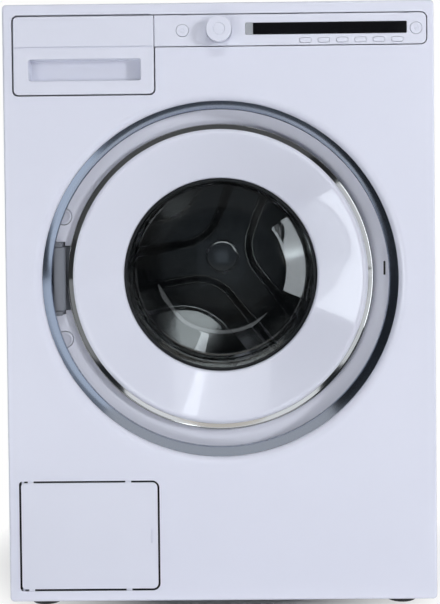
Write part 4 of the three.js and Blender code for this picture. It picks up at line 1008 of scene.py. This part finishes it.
flap_wall, flap_front_edge, flap_rear_edge, flap_bevel = 2.5, 0.7, 0.3, 0.2
notch_outside, notch_inside, notch_far, notch_half, notch_corner = 7.0, 10.0, 1.7, 9.5, 1.0
nub_shares, nub_width, nub_near, nub_far = (0.05, 0.765), 8, 0.5, 1.5
pin_half, pin_out, pin_in, pin_corner = 1.5, 9.2, 7.0, 0.4
knuckle_left, knuckle_right, knuckle_far, knuckle_corner = 2.0, 3.2, 7.4, 0.5
knuckle_inset, knuckle_height = 3.4, 7.0


def service_flap():
    left, right, low, high = flap_left, flap_right, flap_low, flap_high
    middle = (low + high) / 2
    outline = rectangle(left, right, low, high, [hinged_corner, flap_corner, flap_corner, hinged_corner])
    plate = stack("service_flap_fine", outline, edges(0.0, flap_wall, flap_front_edge, flap_rear_edge))
    notch = block("notch", right - notch_inside, right - notch_outside, -overrun, notch_far,
                  middle - notch_half, middle + notch_half, notch_corner)
    parts = []
    for share in nub_shares:
        start = left + share * (right - left)
        for foot in (low - flap_seam + seat, high - flap_wall):
            parts.append(block("nub", start, start + nub_width, nub_near, nub_far,
                               foot, foot + flap_seam + flap_wall - seat))
    for start, end in ((low - pin_out, low + pin_in), (high - pin_in, high + pin_out)):
        parts.append(flap_pin(pin_half, start, end, pin_corner))
    for start in (low + knuckle_inset, high - knuckle_inset - knuckle_height):
        parts.append(block("knuckle", flap_pin_x - knuckle_left, flap_pin_x + knuckle_right, sheet,
                           knuckle_far, start, start + knuckle_height, knuckle_corner))
    piece(weld(carve(plate, notch), *parts), "flap", "white_plastic", "service_flap", edge=flap_bevel)


service_flap()


# CAD nodes that stay, with welded corners, rounded edges and their finishes

edge_of = {"cabinet_body": 0.6, "rear_cover": 0.5, "top_cover": 2.2, "base_pan": 0.5, "motor": 0.8,
           "front_weight": 2.5, "drum_pulley": 0.6, "tub_shell": 1.0, "door_lock": 0.6, "drain_pump": 0.8,
           "drive_belt": 0.6}
usual_edge = 0.4

for part in frame["record"]["subparts"]:
    node = part["node"]
    tidy_cad(cad_nodes[node])
    dress(cad_nodes[node], part["material_slot"], edge_of.get(node, usual_edge))


# Floor and sky; the floor fades to white between two distances in metres

floor_half = 6000
floor_rough, speckle_scale = 0.8, 30.0
dark_speckle, pale_speckle = (0.88, 0.88, 0.89, 1), (0.93, 0.93, 0.94, 1)
fade_start, fade_end = 0.24, 0.4
sky_colour, sky_level = (0.93, 0.96, 1.0, 1.0), 0.18


def background_share(tree):
    """One for rays that see the white background: from the camera, off gloss or through glass."""
    rays = add(tree, "LightPath", {})
    share = rays["Is Camera Ray"]
    for name in ("Is Glossy Ray", "Is Transmission Ray"):
        share = add(tree, "Math", {0: share, 1: rays[name]}, operation="MAXIMUM")["Value"]
    return share


def floor():
    """A pale floor that fades to white away from the machine."""
    material, tree, shader = new_material("floor")
    where = add(tree, "TexCoord", {})["Object"]
    speckle = mixed(tree, noise(tree, where, speckle_scale), dark_speckle, pale_speckle)
    feed(tree, shader, {"Roughness": floor_rough, "Base Color": speckle})
    away = add(tree, "VectorMath", {0: where}, operation="LENGTH")["Value"]
    fade = add(tree, "MapRange", {"Value": away, "From Min": fade_start, "From Max": fade_end})["Result"]
    share = add(tree, "Math", {0: fade, 1: background_share(tree)}, operation="MULTIPLY")["Value"]
    show(tree, share, shader.outputs["BSDF"], add(tree, "Emission", {})["Emission"])
    corners = [(x * floor_half, y * floor_half, 0) for x, y in ((-1, -1), (1, -1), (1, 1), (-1, 1))]
    obj = mesh_object("floor", corners, [[0, 1, 2, 3]])
    obj.data.materials.append(material)


def sky():
    world = bpy.data.worlds.new("studio")
    bpy.context.scene.world = world
    world.use_nodes = True
    tree = world.node_tree
    soft = tree.nodes["Background"]
    feed(tree, soft, {"Color": sky_colour, "Strength": sky_level})
    white = add(tree, "Background", {"Color": (1, 1, 1, 1), "Strength": 1.0})["Background"]
    show(tree, background_share(tree), soft.outputs["Background"], white, "World Output")


floor()
sky()


# Lamps: place, aim, width and height in metres, and power in watts

lamps = {
    "key": ((0.5, -2.9, 3.4), (0, 0, 0.45), 0.8, 0.8, 28),
    "left_light": ((-1.6, -2.6, 0.2), (0, 0, 0.25), 1.6, 0.8, 25),
    "right_light": ((2.4, -2.35, 1.3), (0, 0, 0.35), 0.5, 0.5, 44),
    "low_light": ((0, -1.2, 0.06), (0, -0.3, 0.15), 1.0, 0.1, 1.1),
    "back": ((0.8, 3.0, 2.2), (0, 0, 0.5), 1.6, 1.6, 40),
}

for name, (where, target, width, height, power) in lamps.items():
    light = bpy.data.lights.new(name, "AREA")
    light.shape = "RECTANGLE"
    light.size, light.size_y = width, height
    light.energy = power
    obj = link(bpy.data.objects.new(name, light))
    obj.location = where
    obj.visible_glossy = False
    obj.visible_transmission = False
    obj.rotation_mode = "QUATERNION"
    obj.rotation_quaternion = (Vector(target) - Vector(where)).to_track_quat("-Z", "Y")


# A room in metres that only reflections see: windows, walls and floor patches, with colour and level

blue, cool = (0.72, 0.84, 1.0, 1), (0.9, 0.95, 1.0, 1)
white, warm = (0.88, 0.94, 1.0, 1), (1.0, 0.97, 0.92, 1)
side, low, high = 4, -0.5, 4.5
behind, ahead = 1, -4
patch_start, patch_end = -0.36, -1.2
patch_z, band_z = 0.002, 0.003
band_right, band_left = -0.47, -2.6

# Left, right, low, high and y
front_walls = {
    "room_front": (-side, side, low, high, ahead, blue, 0.03),
    "room_high": (-side, side, 3.55, high, -3.99, cool, 1.2),
    "window_middle": (-1.4, 1.8, 1.4, 2.5, -3.99, cool, 1.2),
    "window_low": (0.85, 2.6, 0.6, 1.4, -3.99, cool, 0.8),
    "window_high": (0.6, 0.98, 2.8, 4.4, -3.98, white, 4.0),
    "glint": (-0.13, 0.055, 0.055, 0.235, -3.99, blue, 0.1),
}
# x, first and last y, low and high
side_walls = {
    "room_left": (-side, -3.1, behind, low, high, cool, 0.03),
    "room_left_far": (-side, ahead, -3.1, low, high, cool, 1.0),
    "room_right_far": (side, ahead, -2, low, high, cool, 0.35),
    "room_right": (side, -2, behind, low, high, cool, 1.1),
    "bright_wall": (band_left, -2.6, -3.7, band_z, 1.0, white, 3.9),
}
# Left, right, first and last y, and height
patches = {
    "room_top": (-side, side, ahead, behind, high, warm, 0.8),
    "floor_left": (-side, -0.3, patch_start, patch_end, patch_z, cool, 0.03),
    "floor_middle": (-0.3, 0.35, patch_start, patch_end, patch_z, cool, 0.12),
    "floor_right": (0.35, side, patch_start, -0.7, patch_z, cool, 1.2),
    "floor_right_far": (0.35, side, -0.7, patch_end, patch_z, cool, 0.1),
    "floor_far": (-side, side, patch_end, ahead, patch_z, cool, 0.05),
    "floor_left_far": (-side, -2.65, -2.3, ahead, 0.0025, cool, 1.0),
}
# Slanting bands: first and last y at the right end, and both at the left end
bands = {
    "pale_floor": (-0.66, -0.85, -2.58, -1.9, cool, 0.9),
    "bright_floor": (-0.86, patch_end, -3.7, -2.6, white, 3.9),
}


def card(name, corners, colour, level):
    """A glowing card that neither the camera nor plain surfaces see."""
    obj = plain_object(name, corners, [[0, 1, 2, 3]])
    material, tree, _ = new_material(name)
    glow = add(tree, "Emission", {"Color": colour, "Strength": level})["Emission"]
    tree.links.new(glow, tree.nodes["Material Output"].inputs["Surface"])
    obj.data.materials.append(material)
    for rays in ("camera", "diffuse", "shadow", "volume_scatter"):
        setattr(obj, "visible_" + rays, False)


for name, (x1, x2, z1, z2, y, colour, level) in front_walls.items():
    card(name, [(x1, y, z1), (x2, y, z1), (x2, y, z2), (x1, y, z2)], colour, level)
for name, (x, y1, y2, z1, z2, colour, level) in side_walls.items():
    card(name, [(x, y1, z1), (x, y2, z1), (x, y2, z2), (x, y1, z2)], colour, level)
for name, (x1, x2, y1, y2, z, colour, level) in patches.items():
    card(name, [(x1, y1, z), (x2, y1, z), (x2, y2, z), (x1, y2, z)], colour, level)
for name, (y1, y2, y3, y4, colour, level) in bands.items():
    card(name, [(band_right, y1, band_z), (band_right, y2, band_z), (band_left, y3, band_z),
                (band_left, y4, band_z)], colour, level)


# Camera at the photograph's viewing angle, with its focal length and row shift in the picture's pixels

camera_x, camera_z, camera_distance = 15.6, 623.9, 1585.7
pitch, yaw, roll = math.radians(1.268), math.radians(-0.527), math.radians(-0.618)
focal, picture_height, row_shift = 1149.6, 604, -110
sensor_width = 36


def camera():
    view = bpy.data.cameras.new("camera")
    view.sensor_width = sensor_width
    view.lens = focal / picture_height * sensor_width
    view.shift_y = row_shift / picture_height
    forward = Vector((math.sin(yaw) * math.cos(pitch), math.cos(yaw) * math.cos(pitch), -math.sin(pitch)))
    right = Vector((math.cos(yaw), -math.sin(yaw), 0))
    up = right.cross(forward)
    right, up = right * math.cos(roll) + up * math.sin(roll), up * math.cos(roll) - right * math.sin(roll)
    turn = Matrix((right, up, -forward)).transposed().to_4x4()
    obj = link(bpy.data.objects.new("camera", view))
    obj.matrix_world = Matrix.Translation(place(camera_x, -camera_distance, camera_z)) @ turn
    bpy.context.scene.camera = obj


camera()
bpy.context.scene.view_settings.view_transform = "Standard"
